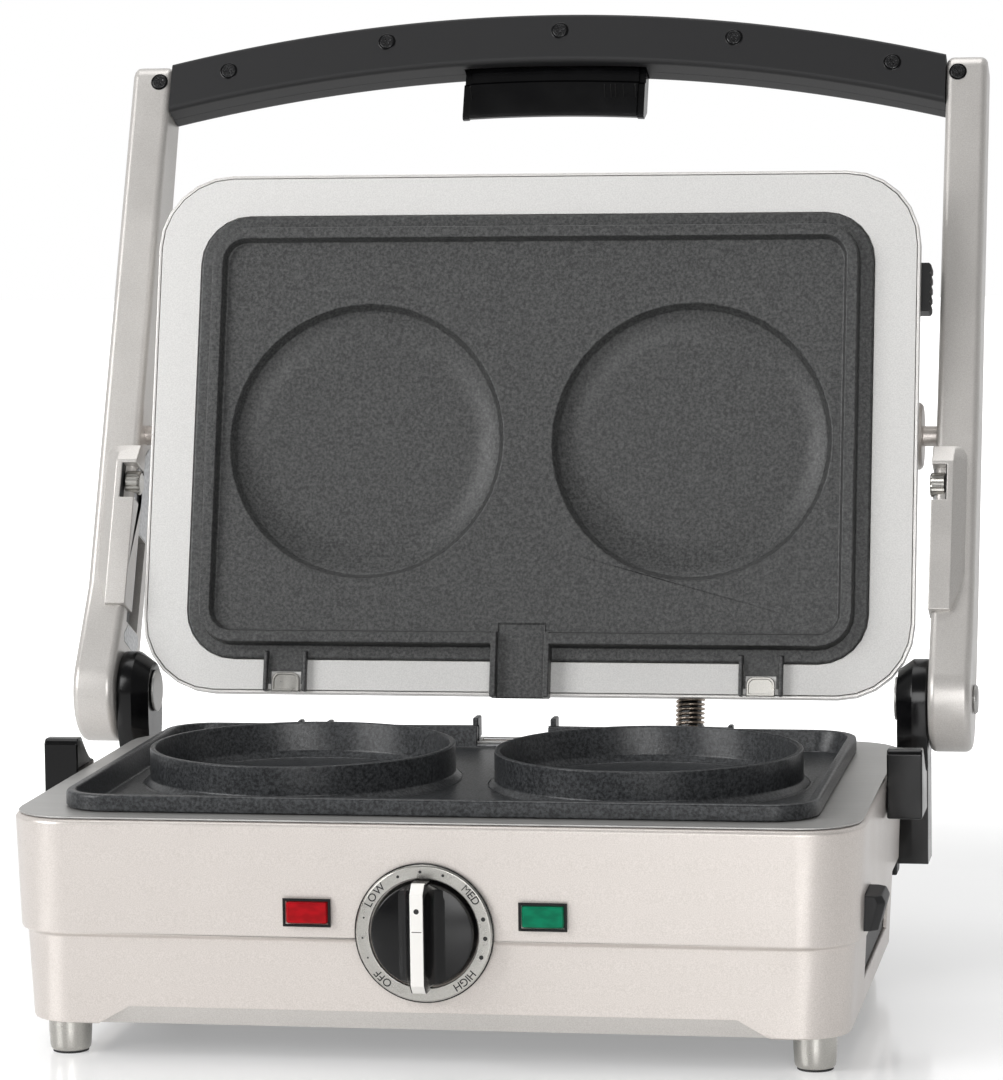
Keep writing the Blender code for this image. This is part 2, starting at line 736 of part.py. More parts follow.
def make_chute(base):
    """Sheet channel that leads the fat from the plate's spout down to the drip tray."""
    top = HOUSING_TOP - HOUSING_WALL - FIT
    back = BASE_DEPTH - housing_inset(CHUTE_ELBOW_Z) - HOUSING_WALL - FIT
    throat = back - (DRAIN_REAR - DRAIN_FRONT)
    mouth = TRAY_HIGH + CHUTE_MOUTH_GAP
    rise = CHUTE_ELBOW_Z - mouth
    depth = throat - CHUTE_MOUTH_Y

    def outline(sheet, over):
        return [
            (back - sheet, top + over),
            (back - sheet, CHUTE_ELBOW_Z + sheet / 2),
            (CHUTE_MOUTH_Y + DRAIN_HALF / 2 - over, mouth + sheet - over * rise / depth),
            (CHUTE_MOUTH_Y - over, mouth + sheet + over),
            (throat + over, CHUTE_ELBOW_Z + (DRAIN_REAR - DRAIN_FRONT) / 2),
            (throat + over, top + over),
        ]

    half = DRAIN_HALF
    chute = prism("drain_chute", outline(0, 0), -half, half, "X", "zinc_sheet", base, smooth=False)
    inner = half - CHUTE_SHEET
    cut(chute, prism("chute_cutter", outline(CHUTE_SHEET, CHUTE_SHEET), -inner, inner, "X", None, base))


def make_rear_cover(base):
    """Moulding across the back, between the hinge knuckles, that takes the conduit and the mains cord."""
    front = BASE_DEPTH - housing_inset(REAR_COVER_HIGH) + FIT
    rear = front + REAR_COVER_DEPTH
    half = CONE_INNER - FIT
    outline = [
        (front, REAR_COVER_LOW),
        (rear - REAR_COVER_ROUND, REAR_COVER_LOW),
        (rear, REAR_COVER_LOW + REAR_COVER_ROUND),
        (rear, REAR_COVER_HIGH - REAR_COVER_ROUND),
        (rear - REAR_COVER_ROUND, REAR_COVER_HIGH),
        (front, REAR_COVER_HIGH),
    ]
    cover = prism("rear_cover", outline, -half, half, "X", "charcoal_plastic", base, smooth=False)
    boss_rear = CONDUIT_ENTRY_Y + CONDUIT_BOSS_REAR
    low = (CONDUIT_X - CONDUIT_BOSS_HALF, front + FIT, REAR_COVER_LOW)
    high = (CONDUIT_X + CONDUIT_BOSS_HALF, boss_rear, CONDUIT_ENTRY_Z)
    join(cover, box("conduit_boss", low, high, None, base))
    shaft = CONDUIT_RADIUS + FIT
    seat = GLAND_RADIUS + FIT
    profile = [
        (0, REAR_COVER_HIGH - CONDUIT_ENTRY_Z + OVERRUN),
        (seat, REAR_COVER_HIGH - CONDUIT_ENTRY_Z + OVERRUN),
        (seat, -GLAND_HEIGHT),
        (shaft, -GLAND_HEIGHT),
        (shaft, -CONDUIT_SUNK - FIT),
        (0, -CONDUIT_SUNK - FIT),
    ]
    place = (CONDUIT_X, CONDUIT_ENTRY_Y, CONDUIT_ENTRY_Z)
    cut(cover, turned("conduit_shaft_cutter", profile, None, base, place, steps=SMALL_STEPS))
    bore = CORD_INLET_RADIUS - CORD_BORE / 2
    profile = [(0, OVERRUN), (bore, OVERRUN), (bore, -CORD_INLET_PROUD), (0, -CORD_INLET_PROUD)]
    place = (CORD_INLET_X, rear, CORD_INLET_Z)
    cut(cover, turned("inlet_hole_cutter", mirrored(profile), None, base, place, "Y", steps=SMALL_STEPS))

    neck = bore - FIT
    profile = [
        (CORD_BORE, CORD_INLET_PROUD),
        (neck - CORD_BORE / 4, CORD_INLET_PROUD),
        (neck, CORD_BORE),
        (CORD_INLET_RADIUS, CORD_BORE / 2),
        (CORD_INLET_RADIUS, FIT),
        (neck, FIT),
        (neck, -CORD_INLET_PROUD + FIT),
        (CORD_BORE, -CORD_INLET_PROUD + FIT),
    ]
    turned("cord_inlet", mirrored(profile), "black_plastic", base, place, "Y", True, SMALL_STEPS)


def make_feet(base):
    top = HOUSING_BOTTOM + HOUSING_WALL
    for end, y in (("front", FOOT_FRONT), ("rear", FOOT_REAR)):
        for side, sign in sides():
            place = (sign * FOOT_OFFSET, y, 0)
            low = PAD_HEIGHT + FIT
            profile = [
                (0, top),
                (FOOT_RADIUS, top),
                (FOOT_RADIUS, low + FOOT_TAPER),
                (FOOT_RADIUS - FOOT_TAPER, low),
                (0, low),
            ]
            turned(f"foot_{end}_{side}", profile, "satin_steel", base, place, steps=SMALL_STEPS)
            pad = [(0, PAD_HEIGHT), (PAD_RADIUS, PAD_HEIGHT), (PAD_RADIUS, 0), (0, 0)]
            turned(f"foot_pad_{end}_{side}", pad, "rubber", base, place, steps=SMALL_STEPS)
            hole = FOOT_RADIUS + FIT
            profile = [(0, top + OVERRUN / 8), (hole, top + OVERRUN / 8), (hole, 0), (0, 0)]
            cutter = turned(f"foot_hole_{end}_{side}", profile, None, base, place, steps=SMALL_STEPS)
            cut(bpy.data.objects["base_housing"], cutter)


def element_path(half_x, y_min, y_max, z, tail):
    """A double heating loop: two rounded loops joined at the middle, with both ends turned to the tail."""
    quarter = math.pi / 2
    radius = ELEMENT_BEND
    leg = ELEMENT_LEGS / 2
    steps = 4
    right = [(leg, y_max)]
    right += arc((half_x - radius, y_max - radius), radius, quarter, 0, steps)
    right += arc((half_x - radius, y_min + radius), radius, 0, -quarter, steps)
    right += arc((leg + radius, y_min + radius), radius, -quarter, -math.pi, steps)
    middle = (y_min + y_max) / 2
    right += [(leg, middle)]
    left = [(-x, y) for x, y in right]
    flat = [(x, y, z) for x, y in reversed(left[1:])] + [(x, y, z) for x, y in right[1:]]
    return [(-leg, middle, z + tail)] + flat + [(leg, middle, z + tail)]


def make_lower_heating(base):
    edge = PLATE_RIM_OVERHANG
    half, front, rear = PLATE_HALF_WIDTH - edge, PLATE_FRONT + edge, PLATE_REAR - edge
    top, sheet = HOUSING_TOP - FIT, REFLECTOR_SHEET
    outer = (
        (sheet * 2, REFLECTOR_FLOOR_Z),
        (-FIT - sheet, REFLECTOR_FLOOR_Z + sheet * 2),
        (-FIT - sheet, top - sheet),
    )
    inner = (
        (-FIT, top),
        (-FIT, REFLECTOR_FLOOR_Z + sheet * 3),
        (sheet * 3, REFLECTOR_FLOOR_Z + sheet),
    )
    lip_inset = TOP_FLANGE + FIT
    lip_profile = ((lip_inset, top - sheet), (lip_inset, top))
    corner = PLATE_CORNER - edge
    rings = inset_rings(half, front, rear, corner, outer)
    rings += inset_rings(BASE_HALF_WIDTH, 0, BASE_DEPTH, BASE_CORNER, lip_profile)
    rings += inset_rings(half, front, rear, corner, inner)
    reflector = loft("lower_reflector", rings, "zinc_sheet", base)
    for side, sign in sides():
        hole = ELEMENT_RADIUS + FIT
        profile = [(0, OVERRUN), (hole, OVERRUN), (hole, -OVERRUN), (0, -OVERRUN)]
        place = (sign * ELEMENT_LEGS / 2, (front + rear) / 2, REFLECTOR_FLOOR_Z)
        cut(reflector, turned("tail_hole_" + side, profile, None, base, place, steps=SMALL_STEPS // 2))
    margin = ELEMENT_MARGIN
    path = element_path(half - margin, front + margin, rear - margin, ELEMENT_Z, -ELEMENT_TAIL)
    tube("lower_element", path, ELEMENT_RADIUS, "dark_steel", base)


def make_lower_plate(lift):
    rim_low = DECK_TOP + FIT
    rim_top = rim_low + PLATE_RIM_HEIGHT
    field = rim_top - PLATE_FIELD_DROP
    profile = (
        (PLATE_RIM_OVERHANG, field - PLATE_FLOOR),
        (PLATE_RIM_OVERHANG, rim_low),
        (0, rim_low),
        (0, rim_top - PLATE_RIM_CHAMFER),
        (PLATE_RIM_CHAMFER, rim_top),
        (PLATE_RIM_CHAMFER + PLATE_RIM_FLAT, rim_top),
        (PLATE_WALL, field),
    )
    rings = inset_rings(PLATE_HALF_WIDTH, PLATE_FRONT, PLATE_REAR, PLATE_CORNER, profile)
    plate = loft("lower_plate", rings, "nonstick", lift)
    top = rim_top + PAN_RISE - field
    for side, sign in sides():
        foot = PAN_RADIUS + PAN_FILLET
        ring = [
            (PAN_RADIUS - PAN_WALL, top),
            (PAN_RADIUS, top),
            (PAN_RADIUS, PAN_FILLET),
            (foot, FIT),
            (foot, -PLATE_FLOOR / 2),
            (PAN_RADIUS - PAN_WALL - PAN_DRAFT * 2, -PLATE_FLOOR / 2),
            (PAN_RADIUS - PAN_WALL - PAN_DRAFT * 2, FIT),
            (PAN_RADIUS - PAN_WALL - PAN_DRAFT, PAN_FILLET),
        ]
        place = (sign * PAN_OFFSET, PAN_CENTRE_Y, field)
        pan = turned("pan_" + side, ring, None, lift, place, ring=True, steps=ROUND_STEPS + SMALL_STEPS)
        join(plate, pan)

    middle = (PLATE_FRONT + PLATE_REAR) / 2
    wall_start = PLATE_REAR + FIT * 3
    wall_end = DRAIN_REAR + FIT
    for side, sign in sides():
        low, root = rim_low + FIT, PLATE_REAR - PLATE_RIM_FLAT
        outline = [
            (root, low),
            (wall_end, low),
            (wall_end, rim_top + SPOUT_RISE),
            (wall_start, rim_top + SPOUT_RISE),
            (wall_start, rim_top - FIT),
            (root, rim_top - FIT),
        ]
        x_low, x_high = span(sign, SPOUT_INNER, SPOUT_OUTER)
        join(plate, prism("spout_wall_" + side, outline, x_low, x_high, "X", None, lift))
    half = SPOUT_INNER - FIT
    start = (-half, middle + PAN_RADIUS, field + FIT)
    cutter = box("spout_cutter", start, (half, PLATE_REAR + OVERRUN, rim_top + OVERRUN), None, lift)
    cut(plate, cutter)

    for side, sign in sides():
        inner, outer = LUG_PLACE - LUG_GAP / 2, LUG_PLACE + LUG_GAP / 2
        x_low, x_high = span(sign, inner, outer)
        start = (x_low, PLATE_REAR - PLATE_RIM_FLAT, rim_low - OVERRUN)
        end = (x_high, PLATE_REAR + OVERRUN, rim_top + OVERRUN)
        cut(plate, box("lug_notch_" + side, start, end, None, lift))
        for place, edge in (("inner", inner - LUG_RIB), ("outer", outer)):
            x_low, x_high = span(sign, edge, edge + LUG_RIB)
            start = (x_low, PLATE_REAR - PLATE_RIM_FLAT / 2, rim_low + FIT)
            end = (x_high, PLATE_REAR + LUG_BACK, rim_top + LUG_RISE)
            join(plate, box(f"lug_{place}_{side}", start, end, None, lift))


def make_plate_hooks(base):
    """Clips on the deck that stand in the notches of the plate's rear rim."""
    low = DECK_TOP + FIT
    for side, sign in sides():
        half = LUG_GAP / 2 - FIT
        x_low, x_high = span(sign, LUG_PLACE - half, LUG_PLACE + half)
        front = PLATE_REAR - PLATE_RIM_FLAT + FIT
        back = PLATE_REAR + LUG_BACK
        top = low + PLATE_RIM_HEIGHT
        lip = LUG_RIB
        outline = [
            (back, low),
            (back, top),
            (front, top),
            (front, top - lip / 2),
            (back - lip, top - lip),
            (back - lip, low + lip),
            (front + lip, low + lip / 2),
            (front + lip, low),
        ]
        prism("lower_plate_hook_" + side, outline, x_low, x_high, "X", "zinc_sheet", base, smooth=False)


def make_dial(base, knob):
    place = (0, 0, DIAL_Z)
    profile = [
        (DIAL_HOLE, DIAL_PROUD),
        (DIAL_RADIUS - DIAL_CHAMFER, DIAL_PROUD),
        (DIAL_RADIUS, DIAL_PROUD - DIAL_CHAMFER),
        (DIAL_RADIUS, -FIT),
        (DIAL_HOLE, -FIT),
    ]
    turned("dial_bezel", profile, "chrome", base, place, "Y", True, ROUND_STEPS + SMALL_STEPS)
    disc = DIAL_HOLE - FIT
    profile = [(0, KNOB_DISC_PROUD), (disc, KNOB_DISC_PROUD), (disc, 0), (0, 0)]
    body = turned("knob_body", profile, "black_plastic", knob, (0, 0, 0), "Y")
    half, tall = KNOB_GRIP_WIDTH / 2, math.sqrt(disc**2 - (KNOB_GRIP_WIDTH / 2) ** 2) - FIT
    quarter = math.pi / 2
    outline = arc((half - KNOB_GRIP_ROUND, tall - KNOB_GRIP_ROUND), KNOB_GRIP_ROUND, 0, quarter, 3)
    outline += [(-x, z) for x, z in reversed(outline)]
    outline += [(-x, -z) for x, z in outline]
    grip = prism("knob_grip", outline, -KNOB_GRIP_PROUD, -KNOB_DISC_PROUD / 2, "Y", None, knob)
    join(body, grip)
    strip = KNOB_STRIP_WIDTH / 2
    depth = KNOB_STRIP_THICK
    start = (-strip - FIT, -KNOB_GRIP_PROUD - OVERRUN, -tall - OVERRUN)
    end = (strip + FIT, -KNOB_GRIP_PROUD + depth, tall + OVERRUN)
    cut(body, box("strip_groove", start, end, None, knob))
    start = (-strip, -KNOB_GRIP_PROUD, -tall)
    box("knob_strip", start, (strip, -KNOB_GRIP_PROUD + depth - FIT, tall), "chrome", knob)

    wall = housing_inset(DIAL_Z - THERMOSTAT_HEIGHT / 2) + HOUSING_WALL
    tip = wall + THERMOSTAT_BORE_DEPTH
    profile = [(0, -FIT), (SHAFT_RADIUS, -FIT), (SHAFT_RADIUS, -tip), (0, -tip)]
    turned("thermostat_shaft", profile, "zinc_sheet", knob, (0, 0, 0), "Y", steps=SMALL_STEPS)
    half_x, half_z = THERMOSTAT_WIDTH / 2, THERMOSTAT_HEIGHT / 2
    start = (-half_x, wall + FIT, DIAL_Z - half_z)
    end = (half_x, wall + THERMOSTAT_DEPTH, DIAL_Z + half_z)
    thermostat = box("thermostat", start, end, "black_plastic", base)
    bore = SHAFT_RADIUS + FIT
    profile = [(0, 0), (bore, 0), (bore, -tip - FIT), (0, -tip - FIT)]
    cut(thermostat, turned("thermostat_bore", profile, None, base, place, "Y", steps=SMALL_STEPS))


def make_lamps(base):
    face = housing_inset(LAMP_Z)
    for (side, sign), lens_finish in zip(sides(), ("red_lens", "green_lens")):
        x = sign * LAMP_OFFSET
        half_x, half_z = LAMP_WIDTH / 2, LAMP_HEIGHT / 2
        frame = half_x + FIT + LAMP_BEZEL, half_z + FIT + LAMP_BEZEL
        start = (x - frame[0], -LAMP_PROUD, LAMP_Z - frame[1])
        end = (x + frame[0], -FIT, LAMP_Z + frame[1])
        bezel = box("lamp_frame_" + side, start, end, "black_plastic", base)
        start = (x - half_x - FIT, -OVERRUN, LAMP_Z - half_z - FIT)
        end = (x + half_x + FIT, OVERRUN, LAMP_Z + half_z + FIT)
        cut(bezel, box("lamp_frame_cutter_" + side, start, end, None, base))
        start = (x - half_x, -LENS_PROUD, LAMP_Z - half_z)
        end = (x + half_x, face + LENS_DEPTH, LAMP_Z + half_z)
        lens = box("lamp_lens_" + side, start, end, lens_finish, base)
        bevel(lens, LENS_EDGE)


def make_tray(tray):
    """Drip tray with its finger pull, drawn out to the right."""
    inner_face = TRAY_PULL_FACE - TRAY_PULL_THICK
    low, high = TRAY_LOW, TRAY_HIGH - TRAY_RIM_DROP
    front, rear = TRAY_FRONT + TRAY_MARGIN, TRAY_REAR - TRAY_MARGIN
    start = (inner_face - TRAY_LENGTH, front, low)
    body = box("drip_tray", start, (inner_face + FIT, rear, high), "charcoal_plastic", tray)
    start = (inner_face - TRAY_LENGTH + TRAY_WALL, front + TRAY_WALL, low + TRAY_WALL)
    end = (inner_face - TRAY_WALL, rear - TRAY_WALL, high + OVERRUN)
    cut(body, box("tray_hollow", start, end, None, tray))
    lip = PULL_LIP
    outline = [
        (inner_face, low),
        (TRAY_PULL_FACE, low),
        (TRAY_PULL_FACE, TRAY_HIGH - lip * 2),
        (TRAY_PULL_FACE + PULL_LIP_DEPTH / 2, TRAY_HIGH - lip),
        (TRAY_PULL_FACE + PULL_LIP_DEPTH / 2, TRAY_HIGH),
        (inner_face, TRAY_HIGH),
    ]
    rings = [[(x, y, z) for x, z in outline] for y in (TRAY_FRONT, TRAY_REAR)]
    join(body, loft("tray_pull", rings, None, tray, smooth=False))


def make_lower_button(press):
    """Release button: its stem reaches under the deck to the lower plate's edge."""
    face = BASE_HALF_WIDTH + LOWER_BUTTON_PROUD - housing_inset(LOWER_BUTTON_HIGH)
    wall = BASE_HALF_WIDTH - housing_inset(LOWER_BUTTON_LOW) - HOUSING_WALL - FIT
    front, rear = LOWER_BUTTON_FRONT, LOWER_BUTTON_REAR
    low, high = LOWER_BUTTON_LOW, LOWER_BUTTON_HIGH
    chamfer = LOWER_BUTTON_CHAMFER
    near = face - chamfer
    rings = []
    for y, x in ((front, near), (front + chamfer, face), (rear - chamfer, face), (rear, near)):
        outline = [
            (wall, low),
            (x - chamfer, low),
            (x, high - chamfer),
            (x - chamfer / 2, high),
            (wall, high),
        ]
        rings.append([(px, y, pz) for px, pz in outline])
    button = loft("lower_button", rings, "charcoal_plastic", press, smooth=False)
    grip = BUTTON_FLANGE
    start = (wall - grip, front - grip, low)
    join(button, box("button_flange", start, (wall + FIT, rear + grip, high + grip), None, press))
    mid = (front + rear) / 2
    stem_end = PLATE_HALF_WIDTH - PLATE_RIM_OVERHANG + REFLECTOR_SHEET + BUTTON_TRAVEL + FIT * 4
    start = (stem_end, mid - LOWER_BUTTON_STEM / 2, high - LOWER_BUTTON_STEM / 4)
    end = (wall, mid + LOWER_BUTTON_STEM / 2, high)
    join(button, box("button_stem", start, end, None, press))
    rise = HOUSING_TOP - HOUSING_WALL - FIT * 2
    end = (stem_end + grip, mid + LOWER_BUTTON_STEM / 2, rise)
    join(button, box("button_catch", start, end, None, press))


def make_hinge(base):
    """Knuckles on the rear cover's ends, turned about the hinge axis, with the bolts that carry the arms."""
    for side, sign in sides():
        bore = BOLT_RADIUS + FIT
        profile = [
            (bore, DRUM_OUTER),
            (DRUM_RADIUS, DRUM_OUTER),
            (DRUM_RADIUS, DRUM_INNER),
            (CONE_RADIUS, CONE_INNER),
            (bore, CONE_INNER),
        ]
        profile = profile if sign > 0 else mirrored(profile)
        place = (0, HINGE_Y, HINGE_Z)
        knuckle = turned("hinge_knuckle_" + side, profile, "black_plastic", base, place, "X", True)
        x_low, x_high = span(sign, CONE_INNER, DRUM_OUTER - FIT)
        drop = HINGE_Z - DRUM_RADIUS / 2
        outline = [
            (PEDESTAL_FRONT, PEDESTAL_LOW),
            (PEDESTAL_REAR, PEDESTAL_LOW),
            (PEDESTAL_REAR, drop - CONE_RADIUS / 2),
            (HINGE_Y + CONE_RADIUS / 2, drop),
            (HINGE_Y - CONE_RADIUS / 2, drop),
            (PEDESTAL_FRONT, drop - CONE_RADIUS / 2),
        ]
        join(knuckle, prism("pedestal_" + side, outline, x_low, x_high, "X", None, base))
        outer = ARM_INNER + ARM_WIDTH + FIT
        profile = [
            (0, outer + BOLT_CAP),
            (BOLT_CAP_RADIUS - BOLT_CAP / 2, outer + BOLT_CAP),
            (BOLT_CAP_RADIUS, outer + BOLT_CAP / 2),
            (BOLT_CAP_RADIUS, outer),
            (BOLT_RADIUS, outer),
            (BOLT_RADIUS, CONE_INNER - FIT),
            (BOLT_DISC_RADIUS, CONE_INNER - FIT),
            (BOLT_DISC_RADIUS, CONE_INNER - BOLT_DISC),
            (0, CONE_INNER - BOLT_DISC),
        ]
        profile = profile if sign > 0 else mirrored(profile)
        turned("hinge_bolt_" + side, profile, "satin_steel", base, place, "X", steps=SMALL_STEPS)


def make_arm_rests(base):
    """Brackets on the housing's sides with a hollowed seat: the closed arms lie on them."""
    rear = REST_FRONT + REST_DEPTH
    seat_front = REST_FRONT + REST_TOP
    for side, sign in sides():
        dip = []
        steps = 5
        for i in range(1, steps):
            share = i / steps
            z = REST_HIGH + (REST_SEAT - REST_HIGH) * math.sin(share * math.pi / 2)
            dip.append((seat_front + (rear - seat_front) * share, z))
        outline = [
            (REST_FRONT, REST_LOW),
            (REST_FRONT, REST_HIGH - REST_ROUND),
            (REST_FRONT + REST_ROUND, REST_HIGH),
            (seat_front, REST_HIGH),
            *dip,
            (rear, REST_SEAT),
            (rear, REST_LOW),
        ]
        x_low, x_high = span(sign, BASE_HALF_WIDTH + FIT, BASE_HALF_WIDTH + FIT + REST_WIDTH)
        prism("arm_rest_" + side, outline, x_low, x_high, "X", "black_plastic", base, smooth=False)


def arm_outline():
    """The arm's side view about the hinge, closed."""
    tangent = math.acos((ARM_BOSS - ARM_FRONT) / ARM_NECK) if ARM_NECK > ARM_BOSS else 0
    length, r = ARM_LENGTH, ARM_TIP_ROUND
    quarter = math.pi / 2
    points = [(ARM_NECK, ARM_FRONT)]
    points += arc((length - r, ARM_FRONT - r), r, quarter, 0, 4)
    points += arc((length - r, r - ARM_BACK_TIP), r, 0, -quarter, 4)
    points += [(ARM_MID, -ARM_BACK_MID), (ARM_NECK, -ARM_BOSS)]
    points += arc((0, 0), ARM_BOSS, -tangent, -2 * math.pi + tangent, 16)
    return [along_arm(s, ahead) for s, ahead in points]


def make_arms(hinge):
    for side, sign in sides():
        x_low, x_high = span(sign, ARM_INNER, ARM_INNER + ARM_WIDTH)
        arm = prism("arm_" + side, arm_outline(), x_low, x_high, "X", "champagne_paint", hinge)
        bevel(arm, ARM_EDGE)
        bore = BOLT_RADIUS + FIT
        ends = (ARM_INNER + ARM_WIDTH + OVERRUN, ARM_INNER - OVERRUN)
        profile = [(0, ends[0]), (bore, ends[0]), (bore, ends[1]), (0, ends[1])]
        profile = profile if sign > 0 else mirrored(profile)
        cut(arm, turned("bolt_hole_" + side, profile, None, hinge, (0, 0, 0), "X", steps=SMALL_STEPS))
        bore = PIN_RADIUS + FIT
        ends = (ARM_INNER + PIN_IN_ARM + FIT, ARM_INNER - OVERRUN)
        profile = [(0, ends[0]), (bore, ends[0]), (bore, ends[1]), (0, ends[1])]
        profile = profile if sign > 0 else mirrored(profile)
        place = (0, -PIVOT_REACH, PIVOT_RISE)
        cut(arm, turned("pin_hole_" + side, profile, None, hinge, place, "X", steps=SMALL_STEPS))

        inner = ARM_INNER - ARM_BOX_IN
        x_low, x_high = span(sign, inner, inner + ARM_BOX_WIDTH)
        back = ARM_FRONT - ARM_BOX_DEPTH
        front = ARM_FRONT + ARM_BOX_PROUD
        slope = ARM_BOX_SLOPE
        shape = [
            (ARM_BOX_START, back),
            (ARM_BOX_START, front - slope / 2),
            (ARM_BOX_START + slope / 2, front),
            (ARM_BOX_END - slope, front),
            (ARM_BOX_END, ARM_FRONT + FIT),
            (ARM_BOX_END, back),
        ]
        outline = [along_arm(s, ahead) for s, ahead in shape]
        name = "arm_box_" + side
        panel = prism(name, outline, x_low, x_high, "X", "champagne_paint", hinge, smooth=False)
        grown = [
            (ARM_BOX_START - FIT, back - FIT),
            (ARM_BOX_START - FIT, front + OVERRUN),
            (ARM_BOX_END + FIT, front + OVERRUN),
            (ARM_BOX_END + FIT, back - FIT),
        ]
        outline = [along_arm(s, ahead) for s, ahead in grown]
        x_low, x_high = span(sign, inner - OVERRUN, inner + ARM_BOX_WIDTH + FIT)
        cut(arm, prism("box_seat_" + side, outline, x_low, x_high, "X", None, hinge))

        end = ROLLER_START + ROLLER_LENGTH
        middle = ARM_FRONT - ROLLER_DEPTH / 2
        window = [
            (ROLLER_START - FIT, middle - ROLLER_RADIUS - FIT),
            (ROLLER_START - FIT, front + OVERRUN),
            (end + FIT, front + OVERRUN),
            (end + FIT, middle - ROLLER_RADIUS - FIT),
        ]
        outline = [along_arm(s, ahead) for s, ahead in window]
        x_low, x_high = span(sign, inner - OVERRUN, inner + ROLLER_DEPTH)
        cut(panel, prism("window_" + side, outline, x_low, x_high, "X", None, hinge))
        y, z = along_arm(ROLLER_START + ROLLER_LENGTH / 2, middle)
        low, high = span(sign, inner - ARM_BOX_IN, inner + ROLLER_DEPTH - FIT)
        profile = [(0, high), (ROLLER_RADIUS, high), (ROLLER_RADIUS, low), (0, low)]
        turned("roller_" + side, profile, "zinc_sheet", hinge, (0, y, z), "X", steps=SMALL_STEPS)


def handle_half(name, near, far, round_front, hinge):
    """Half of the bowed grip between two offsets ahead of the arms' centre line."""
    half = HANDLE_HEIGHT / 2
    edge = HANDLE_EDGE
    flat, crown, turn = (near, far, -edge) if round_front else (far, near, edge)
    section = [
        (-half, flat),
        (-half, crown + turn),
        (edge - half, crown),
        (half - edge, crown),
        (half, crown + turn),
        (half, flat),
    ]
    rings = []
    reach = ARM_INNER - FIT
    for i in range(HANDLE_STATIONS + 1):
        x = reach * (2 * i / HANDLE_STATIONS - 1)
        centre = handle_centre(x)
        rings.append([(x, *along_arm(centre + s, ahead)) for s, ahead in section])
    return loft(name, rings, "charcoal_plastic", hinge)


def make_handle(hinge, squeeze):
    front = handle_half("handle_front", HANDLE_SPLIT + FIT, HANDLE_FRONT, True, hinge)
    back = handle_half("handle_back", -HANDLE_BACK, HANDLE_SPLIT, False, hinge)
    half, low, high = TRIGGER_HALF, TRIGGER_LOW, TRIGGER_LOW + TRIGGER_HEIGHT
    depth = TRIGGER_DEPTH
    gap = FIT
    pocket = [
        (low, -depth - gap),
        (low, depth + gap),
        (high + TRIGGER_TRAVEL + gap, depth + gap),
        (high + TRIGGER_TRAVEL + gap, -depth - gap),
    ]
    outline = [along_arm(s, ahead) for s, ahead in pocket]
    cutter = prism("trigger_pocket", outline, -half - gap, half + gap, "X", None, hinge)
    cut(front, cutter)
    cut(back, cutter)
    shape = [(low, -depth), (low, depth), (high, depth), (high, -depth)]
    outline = [along_arm(s, ahead) for s, ahead in shape]
    trigger = prism("handle_trigger", outline, -half, half, "X", "black_plastic", squeeze, smooth=False)
    bevel(trigger, TRIGGER_EDGE)


def shell_rings(wall):
    rings = []
    depths = (0.0, *SHELL_DEPTHS)
    insets = (0.0, *SHELL_INSETS)
    corners = (COVER_CORNER, *SHELL_CORNERS)
    for depth, inset, corner in zip(depths, insets, corners):
        inward = wall if depth < SHELL_DEPTHS[-1] else wall * 2
        half_x = COVER_HALF_WIDTH - inset - inward
        half_v = COVER_HALF_HEIGHT - inset - inward
        shown = max(depth - wall, 0) if depth > SHELL_DEPTHS[0] else depth
        rings.append(cover_ring(half_x, -half_v, half_v, corner - wall, shown))
    return rings


